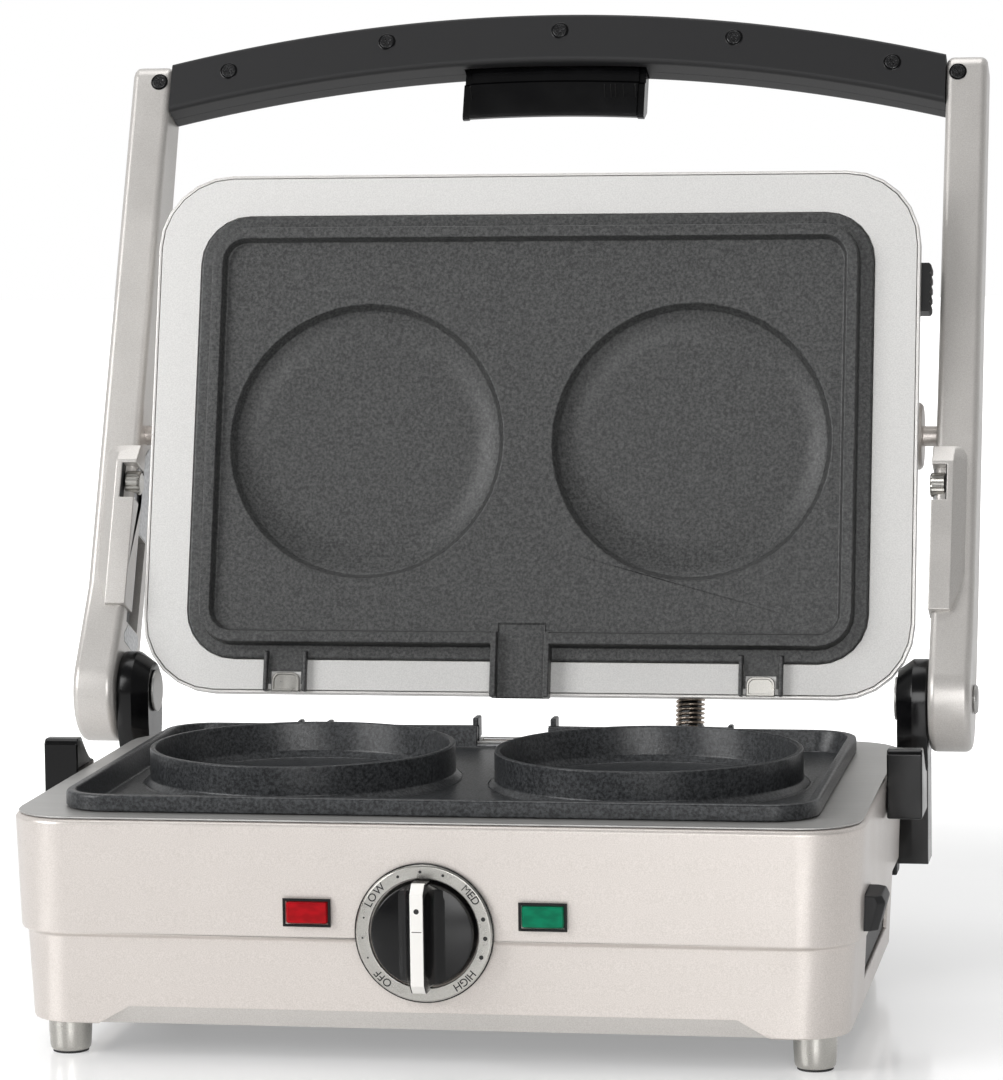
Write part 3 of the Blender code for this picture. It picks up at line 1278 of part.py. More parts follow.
def make_cover(cover):
    """Shell, brushed trim, side bosses with pivot pins, and the hooks at the upper plate's rear edge."""
    outer, inner = shell_rings(0.0), shell_rings(SHELL_WALL)
    shell = loft("cover_shell", [*reversed(inner), *outer], "champagne_paint", cover)
    trim = TRIM_THICKNESS
    gap = UPPER_HALF_WIDTH + FIT
    seat = UPPER_HALF_WIDTH - TRIM_SEAT
    back = UPPER_FLANGE - UPPER_PROUD + FIT

    def frame(half_x, depth):
        grow = half_x - UPPER_HALF_WIDTH
        return cover_ring(half_x, -UPPER_BOTTOM - grow, UPPER_TOP + grow, UPPER_CORNER + grow, depth)

    def outline(depth):
        return cover_ring(TRIM_HALF_WIDTH, -TRIM_HALF_HEIGHT, TRIM_HALF_HEIGHT, TRIM_CORNER, depth)

    rings = [
        outline(0),
        frame(gap, 0),
        frame(gap, back),
        frame(seat, back),
        frame(seat, back + trim),
        frame(gap + trim, back + trim),
        frame(gap + trim, trim),
        outline(trim),
    ]
    loft("cover_trim", rings, "brushed_aluminium", cover, closed=True, smooth=False)

    for side, sign in sides():
        hole = BOSS_RADIUS + FIT
        ends = (BOSS_FACE + OVERRUN, BOSS_FACE - BOSS_SUNK - OVERRUN)
        profile = [(0, ends[0]), (hole, ends[0]), (hole, ends[1]), (0, ends[1])]
        profile = profile if sign > 0 else mirrored(profile)
        cut(shell, turned("boss_hole_" + side, profile, None, cover, (0, 0, 0), "X"))
        tip = ARM_INNER + PIN_IN_ARM
        profile = [
            (0, tip),
            (PIN_RADIUS, tip),
            (PIN_RADIUS, BOSS_FACE),
            (BOSS_RADIUS - BOSS_EDGE, BOSS_FACE),
            (BOSS_RADIUS, BOSS_FACE - BOSS_EDGE),
            (BOSS_RADIUS, BOSS_FACE - BOSS_SUNK),
            (0, BOSS_FACE - BOSS_SUNK),
        ]
        profile = profile if sign > 0 else mirrored(profile)
        turned("pivot_pin_" + side, profile, "champagne_paint", cover, (0, 0, 0), "X")

        x_low, x_high = span(sign, HOOK_INNER, HOOK_OUTER)
        front, lip = cover_z(-HOOK_PROUD), cover_z(-FIT)
        middle = (HOOK_PROUD + FIT) / 2
        outline = [
            (cover_y(-HOOK_START), front),
            (cover_y(-HOOK_END), lip - middle),
            (cover_y(-HOOK_END), lip),
            (cover_y(-HOOK_START) + middle, lip),
            (cover_y(-HOOK_START), lip - middle),
        ]
        prism("upper_hook_" + side, outline, x_low, x_high, "X", "zinc_sheet", cover, smooth=False)

    half = UPPER_BUTTON_HALF + FIT
    middle = cover_z(UPPER_BUTTON_DEPTH)
    start = (COVER_HALF_WIDTH - BOSS_SUNK, cover_y(UPPER_BUTTON_HIGH) - FIT, middle - half)
    end = (UPPER_BUTTON_FACE + OVERRUN, cover_y(UPPER_BUTTON_LOW) + FIT, middle + half)
    cut(shell, box("upper_button_hole", start, end, None, cover))
    exit_y, exit_z = conduit_exit()
    hole = GLAND_RADIUS + FIT
    profile = [(0, BOSS_SUNK), (hole, BOSS_SUNK), (hole, -BOSS_SUNK), (0, -BOSS_SUNK)]
    place = (CONDUIT_X, exit_y + PIVOT_REACH, exit_z - PIVOT_RISE)
    cut(shell, turned("conduit_hole", mirrored(profile), None, cover, place, "Y", steps=SMALL_STEPS))
    bore = CONDUIT_CORE_RADIUS + FIT
    profile = [
        (bore, GLAND_HEIGHT),
        (GLAND_RADIUS - FIT, GLAND_HEIGHT),
        (GLAND_RADIUS, GLAND_HEIGHT - FIT),
        (GLAND_RADIUS, -GLAND_HEIGHT * 3),
        (bore, -GLAND_HEIGHT * 3),
    ]
    name = "conduit_fitting_upper"
    turned(name, mirrored(profile), "charcoal_plastic", cover, place, "Y", True, SMALL_STEPS)


def conduit_exit():
    """(y, z) about the hinge, closed, of the shell's rear wall where the conduit leaves it."""
    depth = SHELL_DEPTHS[1] + FIT * 4
    z = PIVOT_RISE - FACE_DROP + depth
    y = -PIVOT_REACH + COVER_CENTRE + COVER_HALF_HEIGHT - SHELL_INSETS[1] + FIT
    return y, z


def make_upper_plate(pull):
    back = UPPER_FLANGE - UPPER_PROUD

    def frame(inset, depth):
        corner = max(UPPER_CORNER - inset, UPPER_CORNER / 3)
        half_x = UPPER_HALF_WIDTH - inset
        return cover_ring(half_x, -UPPER_BOTTOM + inset, UPPER_TOP - inset, corner, depth)

    foot = RIDGE_INSET
    crest = RIDGE_INSET + RIDGE_TOP_INSET
    front = -UPPER_PROUD
    ridge = front - RIDGE_HEIGHT
    field = ridge + FIELD_DROP
    rings = [
        frame(0, back),
        frame(0, front + UPPER_EDGE),
        frame(UPPER_EDGE, front),
        frame(foot, front),
        frame(crest, ridge),
        frame(crest + RIDGE_WIDTH, ridge),
        frame(crest + RIDGE_WIDTH + RIDGE_FOOT, field),
    ]
    plate = loft("upper_plate", rings, "nonstick", pull)
    deep = field + DISH_DEPTH
    for side, sign in sides():
        place = (sign * DISH_OFFSET, cover_y(DISH_CENTRE), 0)
        bump = DISH_FLAT + DISH_WALL
        top = deep + DISH_WALL
        profile = [
            (0, cover_z(top)),
            (bump, cover_z(top)),
            (DISH_RADIUS + DISH_WALL / 2, cover_z(back)),
            (DISH_RADIUS + DISH_WALL / 2, cover_z(field / 2)),
            (0, cover_z(field / 2)),
        ]
        join(plate, turned("dish_back_" + side, profile, None, pull, place))
        profile = [(0, cover_z(deep)), (DISH_FLAT, cover_z(deep))]
        steps = 3
        for i in range(1, steps + 1):
            angle = i / steps * math.pi / 2
            radius = DISH_FLAT + (DISH_RADIUS - DISH_FLAT) * math.sin(angle)
            profile.append((radius, cover_z(field + DISH_DEPTH * math.cos(angle))))
        profile += [(DISH_RADIUS, cover_z(field - OVERRUN)), (0, cover_z(field - OVERRUN))]
        cutter = turned("dish_cutter_" + side, profile, None, pull, place, steps=ROUND_STEPS + SMALL_STEPS)
        cut(plate, cutter)

        for edge, place_x in (("inner", NOTCH_INNER), ("outer", NOTCH_OUTER - NOTCH_RIB)):
            x_low, x_high = span(sign, place_x, place_x + NOTCH_RIB)
            low = (x_low, cover_y(-UPPER_BOTTOM) - foot / 2, cover_z(front - NOTCH_RIB_PROUD))
            high = (x_high, cover_y(-NOTCH_RIB_END), cover_z(-FIT))
            join(plate, box(f"rib_{edge}_{side}", low, high, None, pull))

    half = UPPER_SPOUT_HALF
    start_v = UPPER_BOTTOM - foot * 2
    low = (-half, cover_y(-start_v), cover_z(ridge))
    high = (half, cover_y(-UPPER_SPOUT_END), cover_z(-FIT))
    join(plate, box("upper_spout", low, high, None, pull))
    half = UPPER_SPOUT_INNER
    low = (-half, cover_y(-start_v) - OVERRUN, cover_z(ridge - OVERRUN))
    high = (half, cover_y(-UPPER_SPOUT_END) + OVERRUN, cover_z(-FIT - UPPER_SPOUT_FLOOR))
    cut(plate, box("upper_spout_cutter", low, high, None, pull))


def make_upper_heating(cover):
    sheet = REFLECTOR_SHEET
    seat = UPPER_FLANGE - UPPER_PROUD + FIT + TRIM_THICKNESS + FIT
    floor = UPPER_REFLECTOR_DEPTH
    inset = TRIM_SEAT + FIT

    def frame(grow, depth):
        half_x = UPPER_HALF_WIDTH - inset - grow
        corner = UPPER_CORNER - inset - min(grow, UPPER_CORNER / 2)
        return cover_ring(half_x, -UPPER_BOTTOM + inset + grow, UPPER_TOP - inset - grow, corner, depth)

    rings = [
        frame(sheet * 4, floor),
        frame(sheet, floor - sheet * 3),
        frame(sheet, seat + sheet),
        frame(-TRIM_SEAT / 2, seat + sheet),
        frame(-TRIM_SEAT / 2, seat),
        frame(sheet * 2, seat),
        frame(sheet * 2, floor - sheet * 3),
        frame(sheet * 4, floor - sheet),
    ]
    reflector = loft("upper_reflector", rings, "zinc_sheet", cover)
    middle = cover_y((UPPER_TOP - UPPER_BOTTOM) / 2)
    for side, sign in sides():
        hole = ELEMENT_RADIUS + FIT
        low, high = cover_z(floor) - OVERRUN, cover_z(floor) + OVERRUN
        profile = [(0, high), (hole, high), (hole, low), (0, low)]
        place = (sign * ELEMENT_LEGS / 2, middle, 0)
        name = "upper_tail_hole_" + side
        cut(reflector, turned(name, profile, None, cover, place, steps=SMALL_STEPS // 2))
    margin = ELEMENT_MARGIN
    half = UPPER_HALF_WIDTH - margin
    y_low, y_high = cover_y(UPPER_TOP) + margin, cover_y(-UPPER_BOTTOM) - margin
    path = element_path(half, y_low, y_high, cover_z(UPPER_ELEMENT_DEPTH), ELEMENT_TAIL)
    tube("upper_element", path, ELEMENT_RADIUS, "dark_steel", cover)


def make_upper_button(press):
    """Ribbed release button in the shell's side, with its stem to the upper plate's edge."""
    y_low, y_high = cover_y(UPPER_BUTTON_HIGH), cover_y(UPPER_BUTTON_LOW)
    z_low = cover_z(UPPER_BUTTON_DEPTH - UPPER_BUTTON_HALF)
    z_high = cover_z(UPPER_BUTTON_DEPTH + UPPER_BUTTON_HALF)
    inner = UPPER_HALF_WIDTH + UPPER_BUTTON_STEM / 4 + BUTTON_TRAVEL
    pitch = (y_high - y_low) / RIB_COUNT
    outline = [(inner, y_low), (UPPER_BUTTON_FACE - RIB_GROOVE, y_low)]
    for i in range(RIB_COUNT):
        start = y_low + i * pitch
        outline += [(UPPER_BUTTON_FACE, start + pitch / 4), (UPPER_BUTTON_FACE, start + 3 * pitch / 4)]
        outline += [(UPPER_BUTTON_FACE - RIB_GROOVE, start + pitch)]
    outline += [(inner, y_high)]
    prism("upper_button", outline, z_low, z_high, "Z", "charcoal_plastic", press, smooth=False)


def conduit_route():
    """Points of the conduit's centre line from the cover's rear wall down into the rear cover."""
    exit_y, exit_z = conduit_exit()
    start_y, start_z = swing(exit_y + GLAND_HEIGHT + FIT, exit_z, -OPEN_ANGLE)
    lean_y, lean_z = swing(1, 0, -OPEN_ANGLE)
    start = Vector((CONDUIT_X, HINGE_Y + start_y, HINGE_Z + start_z))
    entry = Vector((CONDUIT_X, CONDUIT_ENTRY_Y, CONDUIT_ENTRY_Z))
    reach = (start - entry).length
    lead = Vector((0, lean_y, lean_z)) * reach / 3
    rise = Vector((0, 0, reach / 3))
    points = []
    steps = CORE_POINTS
    for i in range(steps):
        t = i / steps
        u = 1 - t
        near = start * u**3 + (start + lead) * (3 * u * u * t)
        points.append(near + (entry + rise) * (3 * u * t * t) + entry * t**3)
    points.append(entry)
    points.append(entry - Vector((0, 0, CONDUIT_SUNK - FIT)))
    return points


def at_length(points, distance):
    """(point, direction) at a distance along a list of points."""
    for a, b in zip(points, points[1:]):
        step = (b - a).length
        if distance <= step:
            break
        distance -= step
    return a.lerp(b, distance / step), (b - a).normalized()


def make_conduit(base):
    route = conduit_route()
    length = sum((b - a).length for a, b in zip(route, route[1:]))
    radius = CONDUIT_RADIUS - CONDUIT_WIRE
    end = CONDUIT_WIRE + FIT
    turns = (length - 2 * end) / CONDUIT_PITCH
    count = int(turns * COIL_POINTS)
    coil = []
    for i in range(count + 1):
        spot, ahead = at_length(route, end + (length - 2 * end) * i / count)
        side = Vector((1, 0, 0))
        up = ahead.cross(side)
        angle = 2 * math.pi * i / COIL_POINTS
        coil.append(spot + radius * (math.cos(angle) * side + math.sin(angle) * up))
    pitches = [(b - a).length for a, b in zip(coil, coil[COIL_POINTS:])]
    gap = min(pitches) - 2 * CONDUIT_WIRE
    print(f"least gap between the conduit's turns: {gap * 1000:.2f} mm")
    tube("conduit_coil", coil, CONDUIT_WIRE, "dark_steel", base)
    tube("conduit_core", route, CONDUIT_CORE_RADIUS, "black_plastic", base, resolution=2)
    profile = [
        (CONDUIT_RADIUS + FIT, 0),
        (GLAND_RADIUS, 0),
        (GLAND_RADIUS, FIT - GLAND_HEIGHT),
        (CONDUIT_RADIUS + FIT, FIT - GLAND_HEIGHT),
    ]
    place = (CONDUIT_X, CONDUIT_ENTRY_Y, CONDUIT_ENTRY_Z)
    turned("conduit_fitting_lower", profile, "charcoal_plastic", base, place, ring=True, steps=SMALL_STEPS)


def build():
    base = empty("grill_frame", (0, front_shift(), 0))
    knob = empty("knob_axis", (0, 0, DIAL_Z), base)
    tray = empty("tray_runner", (0, 0, 0), base)
    lift = empty("lower_plate_seat", (0, 0, 0), base)
    lower_press = empty("lower_button_guide", (0, 0, 0), base)
    hinge = empty("arm_hinge", (0, HINGE_Y, HINGE_Z), base, -OPEN_ANGLE)
    squeeze = empty("trigger_guide", (0, 0, 0), hinge)
    cover = empty("cover_pivot", (0, -PIVOT_REACH, PIVOT_RISE), hinge)
    pull = empty("upper_plate_seat", (0, 0, 0), cover)
    upper_press = empty("upper_button_guide", (0, 0, 0), cover)

    make_housing(base)
    make_tub(base)
    make_deck(base)
    make_chute(base)
    make_rear_cover(base)
    make_feet(base)
    make_lower_heating(base)
    make_plate_hooks(base)
    make_dial(base, knob)
    make_lamps(base)
    make_hinge(base)
    make_arm_rests(base)
    make_conduit(base)
    make_tray(tray)
    make_lower_button(lower_press)
    make_lower_plate(lift)
    make_arms(hinge)
    make_handle(hinge, squeeze)
    make_cover(cover)
    make_upper_plate(pull)
    make_upper_heating(cover)
    make_upper_button(upper_press)


clear_scene()
PARTS = collection("twin_pancake_grill")
CUTTERS = collection("cutters")
build()
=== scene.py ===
"""Electric twin-pancake grill, open: finishes, moulded details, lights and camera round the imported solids.

Everything is in metres in the solids' own frame: +Z up, the dial towards -Y, the feet on Z = 0.
"""

import json
import math

import bmesh
import bpy
from mathutils import Matrix, Vector


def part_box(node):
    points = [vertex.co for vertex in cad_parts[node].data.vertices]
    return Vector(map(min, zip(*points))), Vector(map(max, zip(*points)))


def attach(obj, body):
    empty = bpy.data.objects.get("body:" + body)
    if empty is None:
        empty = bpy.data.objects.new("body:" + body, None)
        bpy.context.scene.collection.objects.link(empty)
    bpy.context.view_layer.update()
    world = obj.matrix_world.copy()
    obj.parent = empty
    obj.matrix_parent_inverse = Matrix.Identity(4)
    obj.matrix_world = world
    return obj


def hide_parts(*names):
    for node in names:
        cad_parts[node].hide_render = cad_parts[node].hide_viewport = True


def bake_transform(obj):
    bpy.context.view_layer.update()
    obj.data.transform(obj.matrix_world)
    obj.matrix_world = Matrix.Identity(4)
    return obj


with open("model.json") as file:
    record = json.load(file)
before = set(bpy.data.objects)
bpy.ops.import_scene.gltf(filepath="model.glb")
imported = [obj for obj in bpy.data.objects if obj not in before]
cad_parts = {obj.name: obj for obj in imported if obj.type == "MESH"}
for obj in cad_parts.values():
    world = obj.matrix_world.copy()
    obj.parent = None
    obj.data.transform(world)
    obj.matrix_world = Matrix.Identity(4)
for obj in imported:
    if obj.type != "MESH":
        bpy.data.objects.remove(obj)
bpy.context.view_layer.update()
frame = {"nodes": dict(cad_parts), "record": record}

MM = 0.001
MERGE = 0.002 * MM
JOINTS = {joint["name"]: joint for joint in frame["record"]["behaviour"]["joints"]}
BODIES = frame["record"]["behaviour"]["bodies"]
BODY_OF = {node: body for body, nodes in BODIES.items() for node in nodes}
SLOT_OF = {part["node"]: part["material_slot"] for part in frame["record"]["subparts"]}
SIDES = (("left", -1), ("right", 1))

# The arms and the cover as they stand open
OPEN_ANGLE = math.radians(104.66)
ARM_RISE = math.atan(0.164)
OPENING = Matrix.Rotation(-OPEN_ANGLE, 3, "X")
ALONG = OPENING @ Vector((0, -math.cos(ARM_RISE), math.sin(ARM_RISE)))
AHEAD = OPENING @ Vector((0, -math.sin(ARM_RISE), -math.cos(ARM_RISE)))
COVER_UP = OPENING @ Vector((0, -1, 0))
COVER_IN = OPENING @ Vector((0, 0, 1))
HINGE = Vector(JOINTS["arm_hinge"]["pos_m"])
PIVOT = Vector(JOINTS["cover_pivot"]["pos_m"])
DIAL = Vector(JOINTS["knob_turn"]["pos_m"])
FACE_DROP = 22 * MM
COVER_CENTRE = 2.2 * MM

# Arms, measured from the hinge axis along them and off their centre line
ARM_INNER = 181 * MM
ARM_WIDTH = 18.5 * MM
ARM_LENGTH = 302 * MM
ARM_FRONT = 12 * MM
ARM_BACK_MID = 18 * MM
ARM_MID = 150 * MM
ARM_NECK = 46 * MM
ARM_BOSS = 23 * MM
ARM_TIP_ROUND = 7 * MM
ARM_EDGE = 3.2 * MM

# Handle across the arms
HANDLE_END = 284.75 * MM
HANDLE_BOW = 22.7 * MM
HANDLE_TOP = 16.75 * MM
HANDLE_LOW = -7 * MM
HANDLE_FRONT = 12.5 * MM
HANDLE_BACK = -11.5 * MM
HANDLE_SPLIT = 1.3 * MM
HANDLE_SEAM = 0.2 * MM
HANDLE_CROWN = 1.8 * MM
HANDLE_LIP = 2.6 * MM
HANDLE_ROLL = 6 * MM
HANDLE_STATIONS = 48
POCKET_LOW = 280 * MM
POCKET_HIGH = 305.8 * MM
POCKET_ROOM = 0.35 * MM


def linear(code):
    """A linear colour with alpha from an sRGB hex code."""
    channels = [int(code[i : i + 2], 16) / 255 for i in (1, 3, 5)]
    return (*(c / 12.92 if c <= 0.04045 else ((c + 0.055) / 1.055) ** 2.4 for c in channels), 1.0)


def add(tree, kind, inputs=None, **settings):
    """A node with its settings, and for each named input a value or another node's output."""
    node = tree.nodes.new(kind)
    for name, value in settings.items():
        setattr(node, name, value)
    for name, value in (inputs or {}).items():
        socket = node.inputs[name]
        if isinstance(value, bpy.types.NodeSocket):
            tree.links.new(value, socket)
        else:
            socket.default_value = value
    return node


def coating(name, colour, roughness, metallic=0.0, specular=0.5, sockets=None):
    """A material with one Principled surface."""
    made = bpy.data.materials.new(name)
    made.use_nodes = True
    shader = made.node_tree.nodes["Principled BSDF"]
    values = {"Base Color": linear(colour), "Roughness": roughness, "Metallic": metallic}
    values |= {"Specular IOR Level": specular} | (sockets or {})
    for socket, value in values.items():
        shader.inputs[socket].default_value = value
    return made


def grain(made, size, stretch=(1, 1, 1), detail=2.0, rough=0.5):
    """Noise in spots about size millimetres across, drawn out along an axis by a small stretch value."""
    tree = made.node_tree
    where = add(tree, "ShaderNodeTexCoord")
    turned = add(tree, "ShaderNodeMapping", {"Vector": where.outputs["Object"], "Scale": stretch})
    inputs = {"Vector": turned.outputs["Vector"], "Detail": detail, "Roughness": rough}
    return add(tree, "ShaderNodeTexNoise", inputs | {"Scale": 1 / (size * MM)}).outputs["Fac"]


def ramp(made, value, low, high, start=0.3, end=0.7):
    """A value between low and high, from where the pattern passes start to where it passes end."""
    inputs = {"Value": value, "From Min": start, "From Max": end, "To Min": low, "To Max": high}
    return add(made.node_tree, "ShaderNodeMapRange", inputs).outputs["Result"]


def tint(made, value, low, high, start=0.3, end=0.7):
    """Two hex colours mixed by a pattern into the base colour."""
    tree = made.node_tree
    share = ramp(made, value, 0.0, 1.0, start, end)
    mixed = add(tree, "ShaderNodeMix", data_type="RGBA")
    tree.links.new(share, mixed.inputs["Factor"])
    mixed.inputs[6].default_value = linear(low)
    mixed.inputs[7].default_value = linear(high)
    tree.links.new(mixed.outputs[2], tree.nodes["Principled BSDF"].inputs["Base Color"])


def gloss(made, value, low, high):
    """Roughness between two values, by a pattern."""
    shader = made.node_tree.nodes["Principled BSDF"]
    made.node_tree.links.new(ramp(made, value, low, high), shader.inputs["Roughness"])


def relief(made, value, depth):
    """Bump of a depth in millimetres."""
    tree = made.node_tree
    bump = add(tree, "ShaderNodeBump", {"Height": value, "Distance": depth * MM, "Strength": 1.0})
    tree.links.new(bump.outputs["Normal"], tree.nodes["Principled BSDF"].inputs["Normal"])


def champagne_enamel(name, colour, lighter):
    """Metallic enamel sprayed on sheet or castings: fine flakes sparkle, and the coat is faintly uneven."""
    made = coating(name, colour, 0.36, 0.45, sockets={"Coat Weight": 0.18, "Coat Roughness": 0.22})
    tint(made, grain(made, 0.45, detail=1.0), colour, lighter)
    gloss(made, grain(made, 22), 0.32, 0.41)
    relief(made, grain(made, 0.5, detail=1.0), 0.006)
    return made


def satin_stainless():
    """Stainless sheet, brushed from side to side: soft streaks run along X."""
    made = coating("brushed_stainless", "#b7b6b4", 0.42, 0.65, sockets={"Anisotropic": 0.3})
    streaks = grain(made, 0.35, (0.02, 1, 1), 3.0)
    tint(made, streaks, "#aaa9a7", "#c3c2c0")
    gloss(made, streaks, 0.36, 0.48)
    relief(made, streaks, 0.004)
    return made


def silver_enamel():
    """The cover's pressed rim in silver enamel: a fine dense sparkle, and cloudy at arm's length."""
    made = coating("silver_enamel", "#d7d6d4", 0.5, 0.1, 0.35)
    sparkle = grain(made, 0.55)
    tint(made, sparkle, "#d1d0ce", "#dfdedc", 0.35, 0.68)
    gloss(made, grain(made, 26), 0.46, 0.56)
    relief(made, sparkle, 0.008)
    return made


def nonstick_coating(name, dark, light, roughness):
    """Sprayed and cured non-stick coating on a casting: an orange-peel skin with pale mineral specks."""
    made = coating(name, dark, roughness, specular=0.4)
    peel = grain(made, 0.9, detail=3.0, rough=0.6)
    tint(made, grain(made, 1.3, detail=3.0, rough=0.7), dark, light, 0.38, 0.72)
    gloss(made, peel, roughness - 0.05, roughness + 0.08)
    relief(made, peel, 0.045)
    return made


def moulded_plastic():
    """ABS from a spark-eroded mould: a fine even texture that softens the reflections."""
    made = coating("charcoal_abs", "#262627", 0.46, specular=0.3)
    texture = grain(made, 0.35)
    gloss(made, texture, 0.43, 0.52)
    relief(made, texture, 0.006)
    return made


def polished_plastic():
    """ABS from a polished mould: near mirror gloss with a faint waviness."""
    made = coating("polished_black_abs", "#070708", 0.2, specular=0.32)
    relief(made, grain(made, 9), 0.02)
    gloss(made, grain(made, 14), 0.16, 0.26)
    return made


def chrome_plate():
    """Bright chrome on turned or moulded parts: mirror-like, with faint polishing marks."""
    made = coating("bright_chrome", "#dededd", 0.12, 1.0)
    gloss(made, grain(made, 3, (1, 0.2, 1)), 0.06, 0.14)
    return made


def satin_plate():
    """Satin chrome on a moulded ring: a soft even silver, with grain too fine to see as lines."""
    made = coating("satin_chrome", "#b4b2ad", 0.3, 1.0)
    tint(made, grain(made, 0.4), "#aba9a4", "#bcbab5")
    gloss(made, grain(made, 5), 0.26, 0.36)
    return made


def inlay_with_painted_reflection():
    """Bright satin metallised strip, paler and smoother than the ring round it: its near-white colour is
    painted reflection.
    """
    # Near-white with little metal: the strip's bright reflection is painted into its colour
    made = coating("metallised_inlay", "#f2f0ec", 0.32, 0.2)
    gloss(made, grain(made, 4, (1, 1, 0.2)), 0.28, 0.38)
    return made


def blackened_steel():
    """Screws in blackened steel: dark and slightly oily, worn brighter in specks."""
    made = coating("blackened_steel", "#4a4a4b", 0.32, 1.0)
    tint(made, grain(made, 0.5), "#3c3c3d", "#777777", 0.5, 0.75)
    return made


def bronzed_wire():
    """Oxidised steel wire: brownish, darker in patches."""
    made = coating("bronzed_steel_wire", "#a3978b", 0.32, 1.0)
    tint(made, grain(made, 2.5), "#92867b", "#c0b3a6", 0.35, 0.65)
    return made


def plated_sheet():
    """Zinc-plated pressings: soft grey with faint spangles."""
    made = coating("zinc_plated_sheet", "#b9babb", 0.38, 0.8)
    tint(made, grain(made, 1.6, detail=0.0), "#adaeb0", "#c4c5c6", 0.35, 0.65)
    gloss(made, grain(made, 2.2), 0.32, 0.44)
    return made


def silicone_rubber():
    """Moulded silicone pads: matt and very slightly dusty."""
    made = coating("grey_silicone", "#2a2a2b", 0.72)
    tint(made, grain(made, 1.2), "#262627", "#343435", 0.4, 0.7)
    return made


def lamp_glass(name, colour, deep):
    """Tinted polycarbonate lens with a moulded facet pattern behind its face."""
    made = coating(name, colour, 0.24, specular=0.15)
    facets = grain(made, 2.4, (0.5, 1, 1), 1.0)
    tint(made, facets, deep, colour, 0.35, 0.65)
    relief(made, facets, 0.01)
    return made


def printed_ink():
    """Pad-printed black ink: flat and dense."""
    made = coating("black_print", "#101010", 0.5)
    gloss(made, grain(made, 0.4), 0.45, 0.6)
    return made


# Enamel of the arms' castings, also used on the skirt's sloped face as painted shade
CAST_AND_SHADE_ENAMEL = champagne_enamel("champagne_enamel_on_castings", "#c3bfbb", "#d2cfcb")
CHARCOAL = moulded_plastic()
INK = printed_ink()
SATIN = satin_plate()
FINISH = {
    "champagne_paint": champagne_enamel("champagne_enamel", "#cdc6c0", "#ddd6d1"),
    "champagne_casting": CAST_AND_SHADE_ENAMEL,
    "satin_steel": satin_stainless(),
    "brushed_aluminium": silver_enamel(),
    "nonstick": nonstick_coating("nonstick_charcoal", "#2f2f30", "#595a59", 0.42),
    "black_plastic": polished_plastic(),
    "charcoal_plastic": CHARCOAL,
    "chrome": chrome_plate(),
    "dark_steel": bronzed_wire(),
    "zinc_sheet": plated_sheet(),
    "rubber": silicone_rubber(),
    "red_lens": lamp_glass("red_polycarbonate", "#ae0a16", "#950812"),
    "green_lens": lamp_glass("green_polycarbonate", "#037a57", "#02694b"),
}
NODE_FINISH = {
    "lower_plate": nonstick_coating("nonstick_black", "#1b1c1e", "#4c4e50", 0.33),
    "dial_bezel": SATIN,
    "cover_shell": champagne_enamel("pale_enamel", "#d6d4d1", "#e2e0dd"),
}

# The conduit's ends: it bends from the base to the arms
CONDUIT = "conduit"
CONDUIT_X = 73 * MM
CONDUIT_START = (CONDUIT_X, 75.53 * MM, 113.36 * MM)
CONDUIT_FOOT = (CONDUIT_X, 67.38 * MM, 64 * MM)

# How wide the edges of each copied solid are rounded, in millimetres
EDGE = 0.3
EDGES = {"base_housing": 0.7, "rear_cover": 0.7, "lower_plate": 0.6, "upper_plate": 0.6}
EDGES |= {"lower_button": 0.6, "cover_trim": 0.25, "dial_bezel": 0.25}
EDGES |= {"deck_plate": 0.15, "drain_chute": 0.15}
EDGES |= {"conduit_fitting_lower": 0.15, "conduit_fitting_upper": 0.15}
for side, _ in SIDES:
    EDGES |= {"arm_rest_" + side: 0.8, "lamp_frame_" + side: 0.12}

# Angles in degrees: edges to round, edges to leave sharp and faces that count as flush
SHARP = 24
SMOOTH = 34
ROUND_SMOOTH = 40
FLUSH = 0.4


def link(name, data):
    """A new object in the scene."""
    made = bpy.data.objects.new(name, data)
    bpy.context.scene.collection.objects.link(made)
    return made


def applied(source):
    """The object with its modifiers made into its mesh."""
    bpy.context.view_layer.update()
    evaluated = source.evaluated_get(bpy.context.evaluated_depsgraph_get())
    mesh = bpy.data.meshes.new_from_object(evaluated)
    name = source.name
    bpy.data.objects.remove(source)
    mesh.name = name
    return link(name, mesh)


def seat(piece, body, slot, *replaced, finish=None):
    """Gives a finished piece its material and its body, and hides the solids it stands for."""
    material = finish or FINISH[slot]
    piece.data.materials.clear()
    piece.data.materials.append(material)
    if replaced:
        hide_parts(*replaced)
    if body == CONDUIT:
        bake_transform(piece)
    else:
        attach(piece, body)
    return piece


def smooth_by_angle(mesh, degrees=SMOOTH):
    """Smooth shading, with a crease at every edge that turns further than an angle."""
    mesh.shade_smooth()
    mesh.set_sharp_from_angle(angle=math.radians(degrees))


def keep_flats(mesh, degrees=SMOOTH):
    """Smooth shading on round faces only: a face whose neighbours lie flush or at corners stays flat."""
    smooth_by_angle(mesh, degrees)
    bm = bmesh.new()
    bm.from_mesh(mesh)
    low, high = math.radians(FLUSH), math.radians(degrees)
    for face in bm.faces:
        turns = [edge.calc_face_angle(math.pi) for edge in face.edges]
        face.smooth = any(low < turn < high for turn in turns)
    bm.to_mesh(mesh)
    bm.free()


def flattened(piece):
    """The piece with its large faces setting the shading, so that they stay flat up to their edges."""
    keep_flats(piece.data)
    weighed = piece.modifiers.new("shading", "WEIGHTED_NORMAL")
    weighed.keep_sharp = True
    weighed.weight = 80
    return applied(piece)


def rounded(piece, edge, steps=2):
    """Rounds the sharp edges of a piece and shades its round faces smooth."""
    keep_flats(piece.data, SHARP)
    bevel = piece.modifiers.new("edges", "BEVEL")
    bevel.width = edge
    bevel.segments = steps
    bevel.limit_method = "ANGLE"
    bevel.angle_limit = math.radians(SHARP)
    bevel.use_clamp_overlap = False
    bevel.loop_slide = False
    return flattened(applied(piece))


